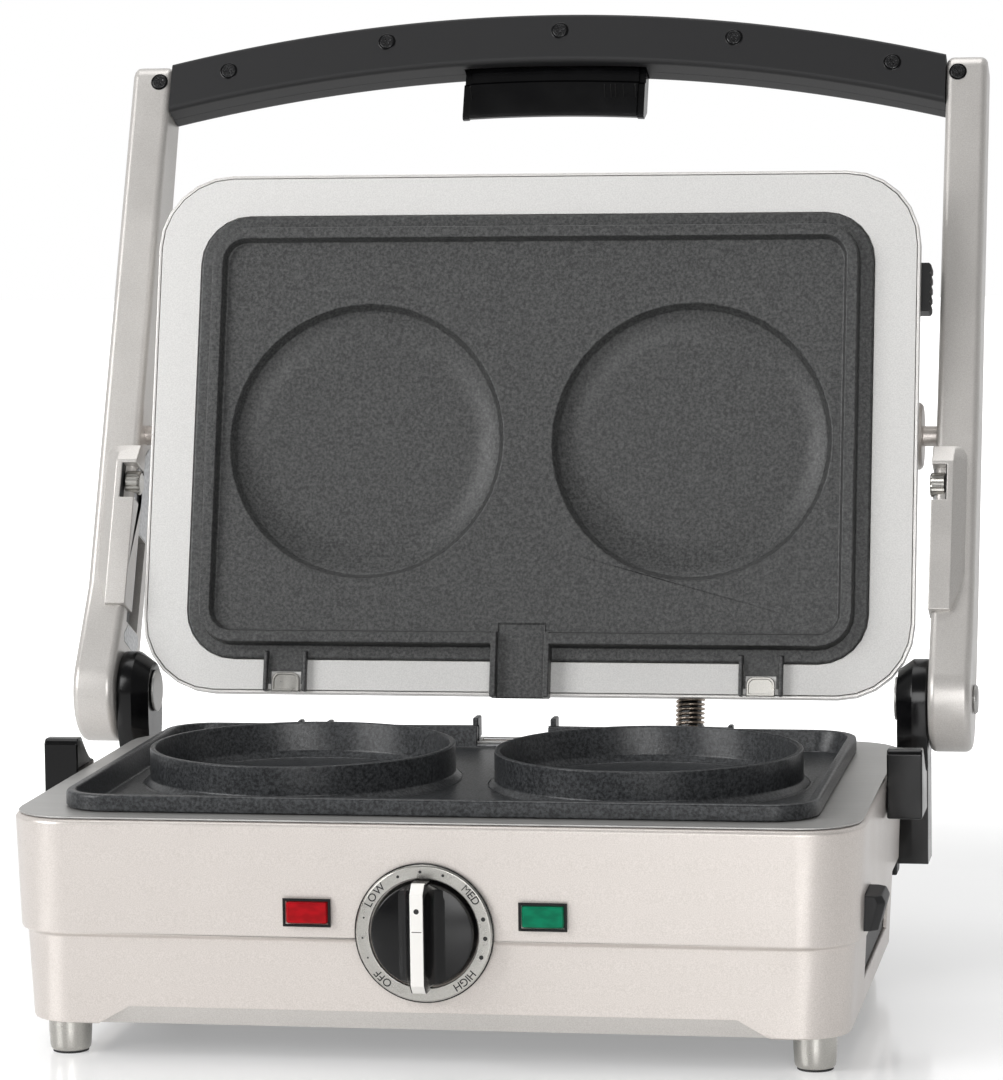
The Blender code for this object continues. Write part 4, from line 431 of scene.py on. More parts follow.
def to_mesh(name, bm):
    """A mesh of what has been built."""
    mesh = bpy.data.meshes.new(name)
    bm.to_mesh(mesh)
    bm.free()
    return mesh


def fine_shape(node):
    """A merged copy of a solid with rounded edges and smooth round faces, in the solid's place."""
    bm = bmesh.new()
    bm.from_mesh(frame["nodes"][node].data)
    bmesh.ops.remove_doubles(bm, verts=bm.verts, dist=MERGE)
    return rounded(link(node + "_fine", to_mesh(node + "_fine", bm)), EDGES.get(node, EDGE) * MM)


def fine_copy(node):
    """Seats a solid's merged and rounded copy in its place."""
    body = CONDUIT if node == "conduit_core" else BODY_OF[node]
    seat(fine_shape(node), body, SLOT_OF[node], node, finish=NODE_FINISH.get(node))


def mesh_from(name, bm):
    """A mesh whose faces point outwards."""
    bmesh.ops.recalc_face_normals(bm, faces=bm.faces)
    return to_mesh(name, bm)


def skin(bm, loops):
    """Faces from each loop of points to the next."""
    count = len(loops[0])
    for low, high in zip(loops, loops[1:]):
        for i in range(count):
            j = (i + 1) % count
            bm.faces.new((low[i], low[j], high[j], high[i]))


def loft(name, rings, smooth=SMOOTH):
    """A capped skin over rings of equally many points."""
    bm = bmesh.new()
    loops = [[bm.verts.new(point) for point in ring] for ring in rings]
    skin(bm, loops)
    bm.faces.new(loops[0])
    bm.faces.new(loops[-1])
    mesh = mesh_from(name, bm)
    smooth_by_angle(mesh, smooth)
    return link(name, mesh)


def block(name, low, high):
    """A box between two corners, to be rounded, cut with or stood on."""
    bm = bmesh.new()
    low, high = Vector(low), Vector(high)
    place = Matrix.Translation((low + high) / 2) @ Matrix.Diagonal((*(high - low), 1.0))
    bmesh.ops.create_cube(bm, size=1.0, matrix=place)
    return link(name, mesh_from(name, bm))


def disc(bm, radius, depth, place, steps):
    """A short cylinder about its own Z."""
    bmesh.ops.create_cone(
        bm, cap_ends=True, segments=steps, radius1=radius, radius2=radius, depth=depth, matrix=place
    )


def in_mm(points):
    """Points written in millimetres, as metres."""
    return [tuple(value * MM for value in point) for point in points]


def circle(radius, steps):
    """Points round a circle, the first on its first axis."""
    points = []
    for i in range(steps):
        angle = math.tau * i / steps
        points.append((math.cos(angle) * radius, math.sin(angle) * radius))
    return points


def arc(centre, radii, start, end, steps):
    """Points of an elliptic arc, both ends included, with its angles in degrees."""
    points = []
    for i in range(steps + 1):
        angle = math.radians(start + (end - start) * i / steps)
        x = centre[0] + radii[0] * math.cos(angle)
        points.append((x, centre[1] + radii[1] * math.sin(angle)))
    return points


def on_arm(x, s, ahead):
    """A place by its distance along the arms from the hinge and ahead of their centre line."""
    return HINGE + Vector((x, 0, 0)) + ALONG * s + AHEAD * ahead


def on_cover(u, v, depth):
    """A place by its distance across and up the cover's face and behind it."""
    return PIVOT + Vector((u, 0, 0)) + COVER_UP * (v - COVER_CENTRE) + COVER_IN * (depth - FACE_DROP)


def carve(piece, cutter):
    """The piece without what the cutter covers, its flat faces shaded flat."""
    boolean = piece.modifiers.new("cut", "BOOLEAN")
    boolean.operation = "DIFFERENCE"
    boolean.object = cutter
    made = applied(piece)
    bpy.data.objects.remove(cutter)
    return flattened(made)


def spread_tree():
    """Geometry Nodes that set a template on each point, all turned alike."""
    tree = bpy.data.node_groups.new("set_on_points", "GeometryNodeTree")
    face = tree.interface
    face.new_socket("Points", in_out="INPUT", socket_type="NodeSocketGeometry")
    face.new_socket("Template", in_out="INPUT", socket_type="NodeSocketObject")
    face.new_socket("Turn", in_out="INPUT", socket_type="NodeSocketVector")
    face.new_socket("Pieces", in_out="OUTPUT", socket_type="NodeSocketGeometry")
    start = add(tree, "NodeGroupInput")
    template = add(tree, "GeometryNodeObjectInfo", {"Object": start.outputs["Template"]})
    inputs = {
        "Points": start.outputs["Points"],
        "Instance": template.outputs["Geometry"],
        "Rotation": start.outputs["Turn"],
    }
    placed = add(tree, "GeometryNodeInstanceOnPoints", inputs)
    real = add(tree, "GeometryNodeRealizeInstances", {"Geometry": placed.outputs["Instances"]})
    end = add(tree, "NodeGroupOutput")
    tree.links.new(real.outputs["Geometry"], end.inputs["Pieces"])
    return tree


SPREAD = spread_tree()


def repeated(name, template, points, turn):
    """One mesh of copies of a template at a list of points."""
    mesh = bpy.data.meshes.new(name)
    mesh.from_pydata([tuple(point) for point in points], [], [])
    holder = link(name, mesh)
    values = {"Template": template, "Turn": turn}
    modifier = holder.modifiers.new("spread", "NODES")
    modifier.node_group = SPREAD
    for item in SPREAD.interface.items_tree:
        if item.name in values:
            modifier[item.identifier] = values[item.name]
    made = applied(holder)
    bpy.data.objects.remove(template)
    return made


# Screw heads and their cross
SCREW_HEAD = 3 * MM
SCREW_HEIGHT = 0.7 * MM
SCREW_SLOT = 0.48 * MM
SCREW_CROSS = 1.86 * MM
SCREW_TURN = math.pi / 7
SCREW_SUNK = 0.42 * MM
SCREW_POINTS = 28


def make_screw_template():
    """A cross-recess screw head, facing +Z, with its rim at Z = 0."""
    curve = bpy.data.curves.new("screw_head", "CURVE")
    curve.dimensions = "2D"
    curve.fill_mode = "BOTH"
    curve.extrude = SCREW_HEIGHT / 2
    curve.bevel_depth = SCREW_HEIGHT / 4
    curve.bevel_resolution = 1
    cross = []
    for i in range(4):
        turn = Matrix.Rotation(math.pi / 2 * i + SCREW_TURN, 2)
        for point in ((SCREW_SLOT, SCREW_SLOT), (SCREW_CROSS, SCREW_SLOT), (SCREW_CROSS, -SCREW_SLOT)):
            cross.append(tuple(turn @ Vector(point)))
    for outline in (circle(SCREW_HEAD, SCREW_POINTS), cross[::-1]):
        spline = curve.splines.new("POLY")
        spline.points.add(len(outline) - 1)
        spline.use_cyclic_u = True
        for spot, (x, y) in zip(spline.points, outline):
            spot.co = (x, y, 0, 1)
    made = applied(link("screw_head", curve))
    bm = bmesh.new()
    bm.from_mesh(made.data)
    disc(bm, SCREW_HEAD, SCREW_HEIGHT / 2, Matrix.Translation((0, 0, -SCREW_SUNK)), SCREW_POINTS)
    bm.to_mesh(made.data)
    bm.free()
    smooth_by_angle(made.data)
    return made


def handle_centre(x):
    """How far along the arms the bowed handle's middle line lies, at a distance across."""
    return HANDLE_END + HANDLE_BOW * (1 - (x / ARM_INNER) ** 2)


def bowed(name, section):
    """A skin of (offset, ahead) points, drawn from arm to arm along the handle's bow."""
    rings = []
    reach = ARM_INNER - EDGE * MM
    for i in range(HANDLE_STATIONS + 1):
        x = reach * (2 * i / HANDLE_STATIONS - 1)
        rings.append([on_arm(x, handle_centre(x) + s, ahead) for s, ahead in section])
    return loft(name, rings, ROUND_SMOOTH)


def make_handle():
    """Both halves of the handle: a flat face with a crisp top edge, and an underside rolled up behind."""
    top, low, front, back = HANDLE_TOP, HANDLE_LOW, HANDLE_FRONT, HANDLE_BACK
    crown, lip, roll = HANDLE_CROWN, HANDLE_LIP, HANDLE_ROLL
    section = [(top, HANDLE_SPLIT)]
    section += arc((top - crown, front - crown), (crown, crown), 0, 90, 4)
    section += arc((low + lip, front - lip), (lip, lip), 90, 180, 6)
    section += [(low, HANDLE_SPLIT)]
    face = bowed("grip_front", section)
    split = HANDLE_SPLIT - HANDLE_SEAM
    section = [(low, split)]
    section += arc((low + roll, back + roll), (roll, roll), 180, 270, 8)
    section += arc((top - roll, back + roll), (roll, roll), 270, 360, 8)
    section += [(top, split)]
    shell = bowed("grip_back", section)
    ahead, across = TRIGGER_FRONT + POCKET_ROOM, TRIGGER_HALF + POCKET_ROOM
    outline = ((POCKET_LOW, -ahead), (POCKET_LOW, ahead), (POCKET_HIGH, ahead), (POCKET_HIGH, -ahead))
    for half, node in ((face, "handle_front"), (shell, "handle_back")):
        rings = [[on_arm(x, *spot) for spot in outline] for x in (-across, across)]
        seat(carve(half, loft("trigger_pocket", rings)), "arms", "charcoal_plastic", node)


# Release trigger under the handle: its edges as (along, ahead of its face), and its ribs in millimetres
TRIGGER_HALF = 42.3 * MM
TRIGGER_LOW = 276.2 * MM
TRIGGER_HIGH = 292.8 * MM
TRIGGER_NECK = 300.5 * MM
TRIGGER_FRONT = 6.5 * MM
TRIGGER_BACK = 1 * MM - TRIGGER_FRONT
TRIGGER_ROLL = 6.5 * MM
TRIGGER_STEP = 2.9 * MM
TRIGGER_RISE = 0.35 * MM
TRIGGER_SHOULDER = 1.1 * MM
TRIGGER_UPPER = in_mm([(1.6, -2.6), (0.5, -0.7), (-0.4, 0)])
TRIGGER_LOWER = in_mm([(1.4, 0), (0.4, -0.4), (0, -1.3), (0.2, -3.4)])
TRIGGER_RIBS = (-38.4, 24.2, 27.1, 29.3, 32.9, 38.4)
RIB_HALF = (0.22 * MM, 0.25 * MM, 6.6 * MM)
RIB_EDGE = 0.14 * MM


def make_trigger():
    """Release trigger: a bowed panel with a rolled lip, stepped back at both ends."""
    inner = TRIGGER_HALF - TRIGGER_STEP - TRIGGER_RISE
    stations = [-TRIGGER_HALF, TRIGGER_STEP - TRIGGER_HALF, -inner]
    stations += [inner * (i / 8 - 1) for i in range(1, 16)]
    stations += [-x for x in stations[2::-1]]
    rings = []
    for x in stations:
        bow = handle_centre(x) - handle_centre(0)
        low, high = TRIGGER_LOW + bow, TRIGGER_HIGH + bow
        front = TRIGGER_FRONT if abs(x) <= inner + 0.01 * MM else TRIGGER_FRONT - TRIGGER_SHOULDER
        section = [(TRIGGER_NECK, TRIGGER_BACK), (TRIGGER_NECK, front + TRIGGER_UPPER[0][1])]
        section += [(high + s, front + ahead) for s, ahead in TRIGGER_UPPER]
        section += [(low + s, front + ahead) for s, ahead in TRIGGER_LOWER]
        section.append((low + TRIGGER_ROLL, TRIGGER_BACK))
        rings.append([on_arm(x, s, ahead) for s, ahead in section])
    seat(loft("release_trigger", rings, SHARP), "handle_trigger", "black_plastic", "handle_trigger")


def make_trigger_ribs():
    """Fine upright ribs on the trigger: one at each end and four near its right end."""
    template = rounded(block("rib", [-half for half in RIB_HALF], RIB_HALF), RIB_EDGE)
    middle = (TRIGGER_LOW + TRIGGER_HIGH) / 2
    spots = [on_arm(x * MM, middle, TRIGGER_FRONT) for x in TRIGGER_RIBS]
    turn = (ALONG.to_track_quat("Z", "Y").to_euler().x, 0, 0)
    seat(repeated("trigger_ribs", template, spots, turn), "handle_trigger", "black_plastic")


# Screws along the handle, across and above its middle line, and at the arms' ends
HANDLE_SCREWS = in_mm([(-153.3, 6.3), (-78.9, 8.0), (2.3, 8.1), (83.4, 8.2), (156.4, 6.9)])
ARM_SCREW_ACROSS = 186.3 * MM
ARM_SCREW_ALONG = 292.5 * MM
SCREW_PROUD = 0.1 * MM
COLLAR_PROFILE = ((0, -0.6), (3.9, -0.6), (4.05, 0.05), (3.7, 0.2), (3.1, 0.05), (0, 0.05))


def make_handle_screws():
    """Cross-recess screws, each in its dark collar, along the handle's face and at the arms' ends."""
    spots = [on_arm(x, handle_centre(x) + s, HANDLE_FRONT + SCREW_PROUD) for x, s in HANDLE_SCREWS]
    for _, sign in SIDES:
        spots.append(on_arm(sign * ARM_SCREW_ACROSS, ARM_SCREW_ALONG, ARM_FRONT + SCREW_PROUD))
    turn = tuple(AHEAD.to_track_quat("Z", "Y").to_euler())
    collars = repeated("screw_collars", turned("screw_collar", COLLAR_PROFILE), spots, turn)
    seat(collars, "arms", "black_plastic")
    screws = repeated("handle_screws", make_screw_template(), spots, turn)
    seat(screws, "arms", "dark_steel", finish=blackened_steel())


def arm_outline():
    """The arm's side view about the hinge, as (along, ahead) points."""
    tangent = math.degrees(math.acos((ARM_BOSS - ARM_FRONT) / ARM_NECK))
    tip, r = ARM_LENGTH - ARM_TIP_ROUND, ARM_TIP_ROUND
    points = [(ARM_NECK, ARM_FRONT)]
    points += arc((tip, ARM_FRONT - r), (r, r), 90, 0, 8)
    points += arc((tip, r - ARM_FRONT), (r, r), 0, -90, 8)
    points += [(ARM_MID, -ARM_BACK_MID), (ARM_NECK, -ARM_BOSS)]
    points += arc((0, 0), (ARM_BOSS, ARM_BOSS), -tangent, tangent - 360, 40)
    return points


def slab(name, sign, outline, inner, outer):
    """A plate on one arm: an (along, ahead) outline between two distances across."""
    return loft(name, [[on_arm(sign * x, s, ahead) for s, ahead in outline] for x in (inner, outer)])


# The arms' inner sides: the hollow, its web, the plate over its upper end and the bracket at its foot
HOLLOW = in_mm([(30, -12), (30, 7.5), (73.5, 8.5), (73.5, -13.5)])
HOLLOW_DEPTH = 9 * MM
WEB = in_mm([(30.5, 0.5), (30.5, 7.2), (73, 8.2), (73, 1.5)])
PLATE = in_mm([(74, -14), (74, 10.6), (101, 10.6), (104, 8), (117, -6), (117, -14)])
BRACKET = in_mm([(19.5, -10), (20.5, 8), (24, 9.5), (29.5, 4), (29.5, -14), (25, -16)])
# Each one's outline, where it starts and ends from the arm's inner face, its edge's width and its slot
ARM_FITTINGS = (
    ("hollow_liner_", HOLLOW, 6.5 * MM, HOLLOW_DEPTH, 0.3 * MM, "black_plastic"),
    ("hollow_web_", WEB, 0.6 * MM, 7 * MM, 0.5 * MM, "charcoal_plastic"),
    ("inner_plate_", PLATE, -0.25 * MM, 2 * MM, 0.2 * MM, "zinc_sheet"),
    ("foot_bracket_", BRACKET, -0.2 * MM, 2 * MM, 0.2 * MM, "zinc_sheet"),
)


def make_arms():
    """Arms: cast channels with rounded edges, hollow on their inner sides."""
    for side, sign in SIDES:
        arm = slab("arm_shell_" + side, sign, arm_outline(), ARM_INNER, ARM_INNER + ARM_WIDTH)
        arm = rounded(arm, ARM_EDGE, 5)
        cutter = slab("hollow", sign, HOLLOW, ARM_INNER - 2 * MM, ARM_INNER + HOLLOW_DEPTH)
        arm = carve(arm, cutter)
        seat(arm, "arms", "champagne_casting", "arm_" + side)
        for name, outline, start, end, edge, slot in ARM_FITTINGS:
            fitting = slab(name + side, sign, outline, ARM_INNER + start, ARM_INNER + end)
            seat(rounded(fitting, edge), "arms", slot)


# The gap in the skirt's front and the sloped face in it
SKIRT_LOW = 15.1 * MM
SKIRT_RISE = 7.6 * MM
SKIRT_NARROW = 122 * MM
SKIRT_WIDE = 136 * MM
SKIRT_FACE = 5.45 * MM
SKIRT_SETBACK = 3.65 * MM
SKIRT_WALL = 1.2 * MM
SKIRT_PROUD = 0.1 * MM


def skirt_ring(share, offset=0.0, low=SKIRT_LOW):
    """The gap's outline where its sloped face has risen to a share of its height, set back by an offset."""
    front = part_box("base_housing")[0].y + SKIRT_FACE
    y = front + SKIRT_SETBACK * (1 - share) + offset
    top = SKIRT_LOW + SKIRT_RISE * share
    half = SKIRT_WIDE - (SKIRT_WIDE - SKIRT_NARROW) * share
    return [(-SKIRT_WIDE, y, low), (SKIRT_WIDE, y, low), (half, y, top), (-half, y, top)]


def make_skirt():
    """The housing's wrap with the long gap in its skirt, and the sloped face that closes the gap, its colour
    darkened as painted shade.
    """
    low = SKIRT_LOW - 1 * MM
    cutter = loft("skirt_gap", [skirt_ring(share, SKIRT_PROUD, low) for share in (2.0, -0.02)])
    housing = carve(fine_shape("base_housing"), cutter)
    seat(housing, "base", "champagne_paint", "base_housing")
    rings = []
    for offset in (0.0, SKIRT_WALL):
        lower, upper = skirt_ring(0.0, offset), skirt_ring(1.0, offset)
        rings.append(lower[:2] + upper[2:])
    # The sloped face takes the darker casting enamel as painted shade: its band is darker in its colour
    seat(rounded(loft("skirt_slope", rings), 0.2 * MM), "base", "champagne_paint", finish=CAST_AND_SHADE_ENAMEL)


# Raised boxes on the arms
BOX_INNER = 179.9 * MM
BOX_FACE = 189.4 * MM
BOX_FOOT = 195.4 * MM
BOX_BACK = 3 * MM
BOX_FRONT = 17.5 * MM
BOX_LOW = 35.5 * MM
BOX_FULL = 53 * MM
BOX_TOP = 103.9 * MM
BOX_END = 112.6 * MM
BOX_EDGE = 0.5 * MM
BOX_SMOOTH = 20
WINDOW = in_mm([(86, 4), (86, 20), (102.4, 20), (102.4, 4)])
WINDOW_SILL = in_mm([(86, 4), (86, 4.6), (102.4, 4.6), (102.4, 4)])
WINDOW_BACK = in_mm([(86, 4), (86, 17), (102.4, 17), (102.4, 4)])
WINDOW_END = 186.6 * MM
LININGS = (
    ("window_lining_", WINDOW_SILL, BOX_INNER + 0.2 * MM, WINDOW_END),
    ("window_wall_", WINDOW_BACK, WINDOW_END - 0.4 * MM, WINDOW_END + 0.2 * MM),
)
LINING_EDGE = 0.1 * MM


def make_arm_boxes():
    """Raised boxes: a flat face, one long slope outwards that runs to a point, and the roller's window."""
    stations = (
        (BOX_LOW, BOX_FRONT, BOX_FACE + 0.5 * MM),
        (BOX_FULL, BOX_FRONT, BOX_FOOT),
        (BOX_TOP, BOX_FRONT, BOX_FOOT),
        ((BOX_TOP + BOX_END) / 2, (BOX_FRONT + ARM_FRONT) / 2, BOX_FOOT),
        (BOX_END, ARM_FRONT + 0.1 * MM, BOX_FOOT - 2 * MM),
    )
    for side, sign in SIDES:
        rings = []
        for s, front, foot in stations:
            outline = [(BOX_INNER, BOX_BACK), (BOX_INNER, front), (BOX_FACE, front)]
            outline += [(foot, ARM_FRONT - 0.3 * MM), (foot, BOX_BACK)]
            rings.append([on_arm(sign * x, s, ahead) for x, ahead in outline])
        cutter = slab("window", sign, WINDOW, BOX_INNER - 2 * MM, WINDOW_END)
        box = carve(loft("box_cover_" + side, rings, BOX_SMOOTH), cutter)
        seat(rounded(box, BOX_EDGE), "arms", "champagne_casting", "arm_box_" + side)
        for name, outline, inner, outer in LININGS:
            lining = slab(name + side, sign, outline, inner, outer)
            seat(rounded(lining, LINING_EDGE), "arms", "black_plastic", finish=CHARCOAL)


# Rollers: their middle, their knurling and their profile as (across, radius) in millimetres
ROLLER_ALONG = 95.2 * MM
ROLLER_AHEAD = 9.4 * MM
ROLLER_POINTS = 40
ROLLER_GROOVE = 0.95
KNURL_SMOOTH = 8
ROLLER_PROFILE = ((178.9, 4.4), (179.3, 5.2), (180.0, 5.6), (185.2, 5.6), (185.8, 5.1))


def make_rollers():
    """Knurled rollers in the boxes' windows."""
    for side, sign in SIDES:
        rings = []
        for x, radius in ROLLER_PROFILE:
            ring = []
            for i in range(ROLLER_POINTS):
                angle = math.tau * i / ROLLER_POINTS
                r = radius * MM * (1.0 if i % 2 else ROLLER_GROOVE)
                s = ROLLER_ALONG + r * math.cos(angle)
                ring.append(on_arm(sign * x * MM, s, ROLLER_AHEAD + r * math.sin(angle)))
            rings.append(ring)
        roller = loft("knurled_roller_" + side, rings, KNURL_SMOOTH)
        seat(roller, "arms", "zinc_sheet", "roller_" + side, finish=SATIN)


# Hinge knuckles: the post's faces, and the head's profile as (across, radius) in millimetres
KNUCKLE_RADIUS = 17.5 * MM
KNUCKLE_LOW = 46 * MM
KNUCKLE_FRONT = 43.4 * MM
KNUCKLE_REAR = 64.9 * MM
KNUCKLE_FLANK = HINGE.z - 0.75 * KNUCKLE_RADIUS
KNUCKLE_WAIST = HINGE.z - 0.95 * KNUCKLE_RADIUS
KNUCKLE_NECK = HINGE.z - 1.45 * KNUCKLE_RADIUS
KNUCKLE_PROFILE = ((180.6, 16.7), (180.2, 17.3), (179.7, 17.5), (173.9, 17.5), (173.3, 17.2))
KNUCKLE_PROFILE += ((167.6, 13.0), (167.1, 12.6))


def knuckle_ring(x, radius):
    """A round head with upright flanks, narrowing into the post below."""
    outline = [(HINGE.y + y, HINGE.z + z) for y, z in arc((0, 0), (radius, radius), 0, 180, 28)]
    front = min(KNUCKLE_FRONT, HINGE.y - 0.55 * radius)
    outline += [(HINGE.y - radius, KNUCKLE_FLANK), (HINGE.y - 0.95 * radius, KNUCKLE_WAIST)]
    outline += [(front, KNUCKLE_NECK), (front, KNUCKLE_LOW)]
    outline += [(KNUCKLE_REAR, KNUCKLE_LOW), (KNUCKLE_REAR, KNUCKLE_NECK)]
    outline += [(HINGE.y + 0.95 * radius, KNUCKLE_WAIST), (HINGE.y + radius, KNUCKLE_FLANK)]
    return [Vector((x, y, z)) for y, z in outline]


def make_knuckles():
    """Hinge knuckles: upright round-headed posts that taper towards the grill."""
    for side, sign in SIDES:
        rings = [knuckle_ring(sign * x * MM, radius * MM) for x, radius in KNUCKLE_PROFILE]
        seat(loft("knuckle_" + side, rings, SHARP), "base", "black_plastic", "hinge_knuckle_" + side)


# Hooks under the upper plate's notches, and the tongues between the notches' ribs
HOOK_PLACE = 106.6 * MM
HOOK_HALF = 6.3 * MM
HOOK_LOW = -117.8 * MM
HOOK_HIGH = -109.3 * MM
HOOK_ROUND = 3.4 * MM
HOOK_RIM = 0.9
HOOK_PROFILE = ((0, -0.1), (0, -1.7), (0.25, -1.9), (HOOK_RIM, -1.9), (HOOK_RIM + 0.2, -1.3))
HOOK_SMOOTH = 30
TONGUE = in_mm([(98.9, -101.5), (114.6, -101.5), (114.6, -114.5), (113.4, -114.5), (113.4, -108.8)])
TONGUE += in_mm([(99.8, -108.8), (99.8, -114.5), (98.9, -114.5)])
TONGUE_FACES = (-0.25 * MM, -1.0 * MM)
TONGUE_EDGE = 0.15 * MM


def hook_outline(inset):
    """A hook's outline across and up the cover, with round upper corners."""
    r, half, high, low = HOOK_ROUND - inset / 2, HOOK_HALF - inset, HOOK_HIGH - inset, HOOK_LOW + inset
    points = [(half, low)]
    points += arc((half - r, high - r), (r, r), 0, 90, 6)
    points += arc((r - half, high - r), (r, r), 90, 180, 6)
    return points + [(-half, low)]


def make_hooks():
    """Pressed hooks with a raised rim and round upper corners, and the tongues above them."""
    for side, sign in SIDES:
        rings = []
        for inset, depth in HOOK_PROFILE:
            outline = hook_outline(inset * MM)
            rings.append([on_cover(sign * HOOK_PLACE + u, v, depth * MM) for u, v in outline])
        catch = loft("catch_" + side, rings, HOOK_SMOOTH)
        seat(catch, "cover", "zinc_sheet", "upper_hook_" + side, finish=SATIN)
        rings = [[on_cover(sign * u, v, depth) for u, v in TONGUE] for depth in TONGUE_FACES]
        tongue = rounded(loft("notch_tongue_" + side, rings), TONGUE_EDGE)
        seat(tongue, "upper_plate", "nonstick")


TURNED_POINTS = 48


def turned(name, profile, centre=(0, 0, 0)):
    """A closed skin of (radius, height) points in millimetres, turned about the vertical."""
    rings = []
    for radius, height in profile:
        points = circle(max(radius, 0.001), TURNED_POINTS)
        rings.append([Vector(centre) + Vector((x, y, height)) * MM for x, y in points])
    return loft(name, rings, ROUND_SMOOTH)


# Feet: (radius, height) in millimetres
SLEEVE_PROFILE = ((0, 17.1), (8.75, 17.1), (8.65, 9), (8.3, 3))
SLEEVE_PROFILE += ((8.0, 1.8), (7.4, 1.0), (6.8, 0.7), (0, 0.7))
SOLE_PROFILE = ((0, 0.9), (7.0, 0.9), (7.2, 0.7), (7.2, 0.2), (6.9, 0), (0, 0))
FOOT_PLACES = ("front_left", "front_right", "rear_left", "rear_right")


def make_feet():
    """Feet: turned metal sleeves with rounded lower edges on thin silicone pads."""
    for place in FOOT_PLACES:
        foot, pad = "foot_" + place, "foot_pad_" + place
        low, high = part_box(foot)
        centre = ((low.x + high.x) / 2, (low.y + high.y) / 2, 0)
        sleeve = turned("foot_sleeve_" + place, SLEEVE_PROFILE, centre)
        seat(sleeve, "base", SLOT_OF[foot], foot, finish=SATIN)
        seat(turned("foot_sole_" + place, SOLE_PROFILE, centre), "base", "rubber", pad)


# Knob, in millimetres from the dial's centre: its disc as (radius, proud), its grip's hollow flanks as
# (across, share of the rise), and its strip's section as (across, behind) and stations as (up, proud)
KNOB_RADIUS = 20.2
KNOB_SKIRT = 21.3
KNOB_DISC = 5.8
KNOB_FRONT = 16.8
KNOB_REACH = 21.4
KNOB_SLOPE = 3.4
KNOB_FALL = 1.05
KNOB_POINTS = 72
KNOB_SMOOTH = 30
KNOB_PROFILE = ((0, KNOB_DISC), (KNOB_RADIUS - 0.7, KNOB_DISC), (KNOB_RADIUS - 0.1, KNOB_DISC - 0.3))
KNOB_PROFILE += ((KNOB_RADIUS, KNOB_DISC - 0.8), (KNOB_SKIRT, 0.8), (KNOB_SKIRT, 0), (0, 0))
GRIP_FLANK = ((3.0, 1.0), (3.15, 0.96), (3.7, 0.6), (5.0, 0.27), (6.6, 0.1), (8.6, 0.02), (10.2, -0.03))
GRIP_HALF = 10.2
GRIP_ROOM = 19.8
GRIP_LEAST = 9.7
GRIP_FOOT = 1.0
GRIP_HEIGHTS = (-21.4, -20.2, -18.7, -17.8, -14, -9, -4, 0, 4, 9, 14, 17.8, 18.7, 20.2, 21.4)
INLAY_SECTION = ((-2.6, -1), (-2.6, -0.15), (-2.4, 0), (2.4, 0), (2.6, -0.15), (2.6, -1))
INLAY_STATIONS = ((-21.7, -0.35), (-21.3, 0.15), (-18.2, 0.15), (-17.7, 0.15))
INLAY_STATIONS += ((17.7, 0.15), (18.2, 0.15), (21.3, 0.15), (21.7, -0.35))
INLAY_SMOOTH = 20
GASKET_PROFILE = ((26.8, 0.0), (27.75, 0.0), (27.75, 1.2), (27.5, 1.5), (26.8, 1.5))
GASKET_POINTS = 96


def knob_face(z):
    """How far the grip's front stands proud at a height above the dial's centre, in millimetres."""
    over = max(0.0, abs(z) - (KNOB_REACH - KNOB_SLOPE))
    return KNOB_FRONT - over * KNOB_FALL


def on_knob(x, proud, z):
    """A place on the knob in millimetres: across, out of the dial and up."""
    return DIAL + Vector((x, -proud, z)) * MM


def knob_rings(profile, steps):
    """Rings round the dial's centre over a profile of (radius, proud) points."""
    rings = []
    for radius, proud in profile:
        points = circle(max(radius, 0.001), steps)
        rings.append([on_knob(x, proud, z) for z, x in points])
    return rings


def grip_outline(z):
    """The grip's section at a height, kept within the round disc."""
    front = knob_face(z)
    room = math.sqrt(max(GRIP_ROOM**2 - z * z, GRIP_LEAST))
    half = [(min(x, room), KNOB_DISC + (front - KNOB_DISC) * rise) for x, rise in GRIP_FLANK]
    foot = min(GRIP_HALF, room)
    return [(-x, y) for x, y in half[::-1]] + half + [(foot, GRIP_FOOT), (-foot, GRIP_FOOT)]


def make_knob():
    """Knob: a round skirt, and a narrow grip with hollow flanks and sloped ends."""
    skirt = loft("skirt", knob_rings(KNOB_PROFILE, KNOB_POINTS), ROUND_SMOOTH)
    rings = [[on_knob(x, y, z) for x, y in grip_outline(z)] for z in GRIP_HEIGHTS]
    bm = bmesh.new()
    for piece in (skirt, loft("grip", rings)):
        bm.from_mesh(piece.data)
        bpy.data.objects.remove(piece)
    mesh = to_mesh("knob_moulding", bm)
    smooth_by_angle(mesh, KNOB_SMOOTH)
    seat(link("knob_moulding", mesh), "knob", SLOT_OF["knob_body"], "knob_body")


def make_knob_inlay():
    """The metallised strip along the knob's grip, bent down at both ends, with painted reflection in its
    colour.
    """
    rings = []
    for z, proud in INLAY_STATIONS:
        front = knob_face(z) + proud
        rings.append([on_knob(x, front + behind, z) for x, behind in INLAY_SECTION])
    seat(loft("knob_inlay", rings, INLAY_SMOOTH), "knob", "chrome", "knob_strip", finish=inlay_with_painted_reflection())


def make_gasket():
    """Thin black gasket round the dial ring."""
    bm = bmesh.new()
    rings = knob_rings(GASKET_PROFILE, GASKET_POINTS)
    loops = [[bm.verts.new(point) for point in ring] for ring in rings]
    skin(bm, loops + loops[:1])
    mesh = mesh_from("dial_gasket", bm)
    smooth_by_angle(mesh)
    seat(link("dial_gasket", mesh), "base", "black_plastic")


# Dial print: each word's middle and each dot's angle, clockwise from the top
RING_MIDDLE = 24.5 * MM
RING_FACE = 2.2 * MM
LETTER_SIZE = 4.4 * MM
LETTER_WEIGHT = 0.045 * MM
LETTER_GAP = 0.42 * MM
PRINT_DEPTH = 0.06 * MM
WORDS = (("OFF", 222), ("LOW", 308), ("MED", 50.5), ("HIGH", 139))
DOTS = ((0.4, (246, 265, 284)), (0.6, (336, 357.5, 19)), (0.88, (75.5, 93.5, 111.5)))
DOT_POINTS = 20

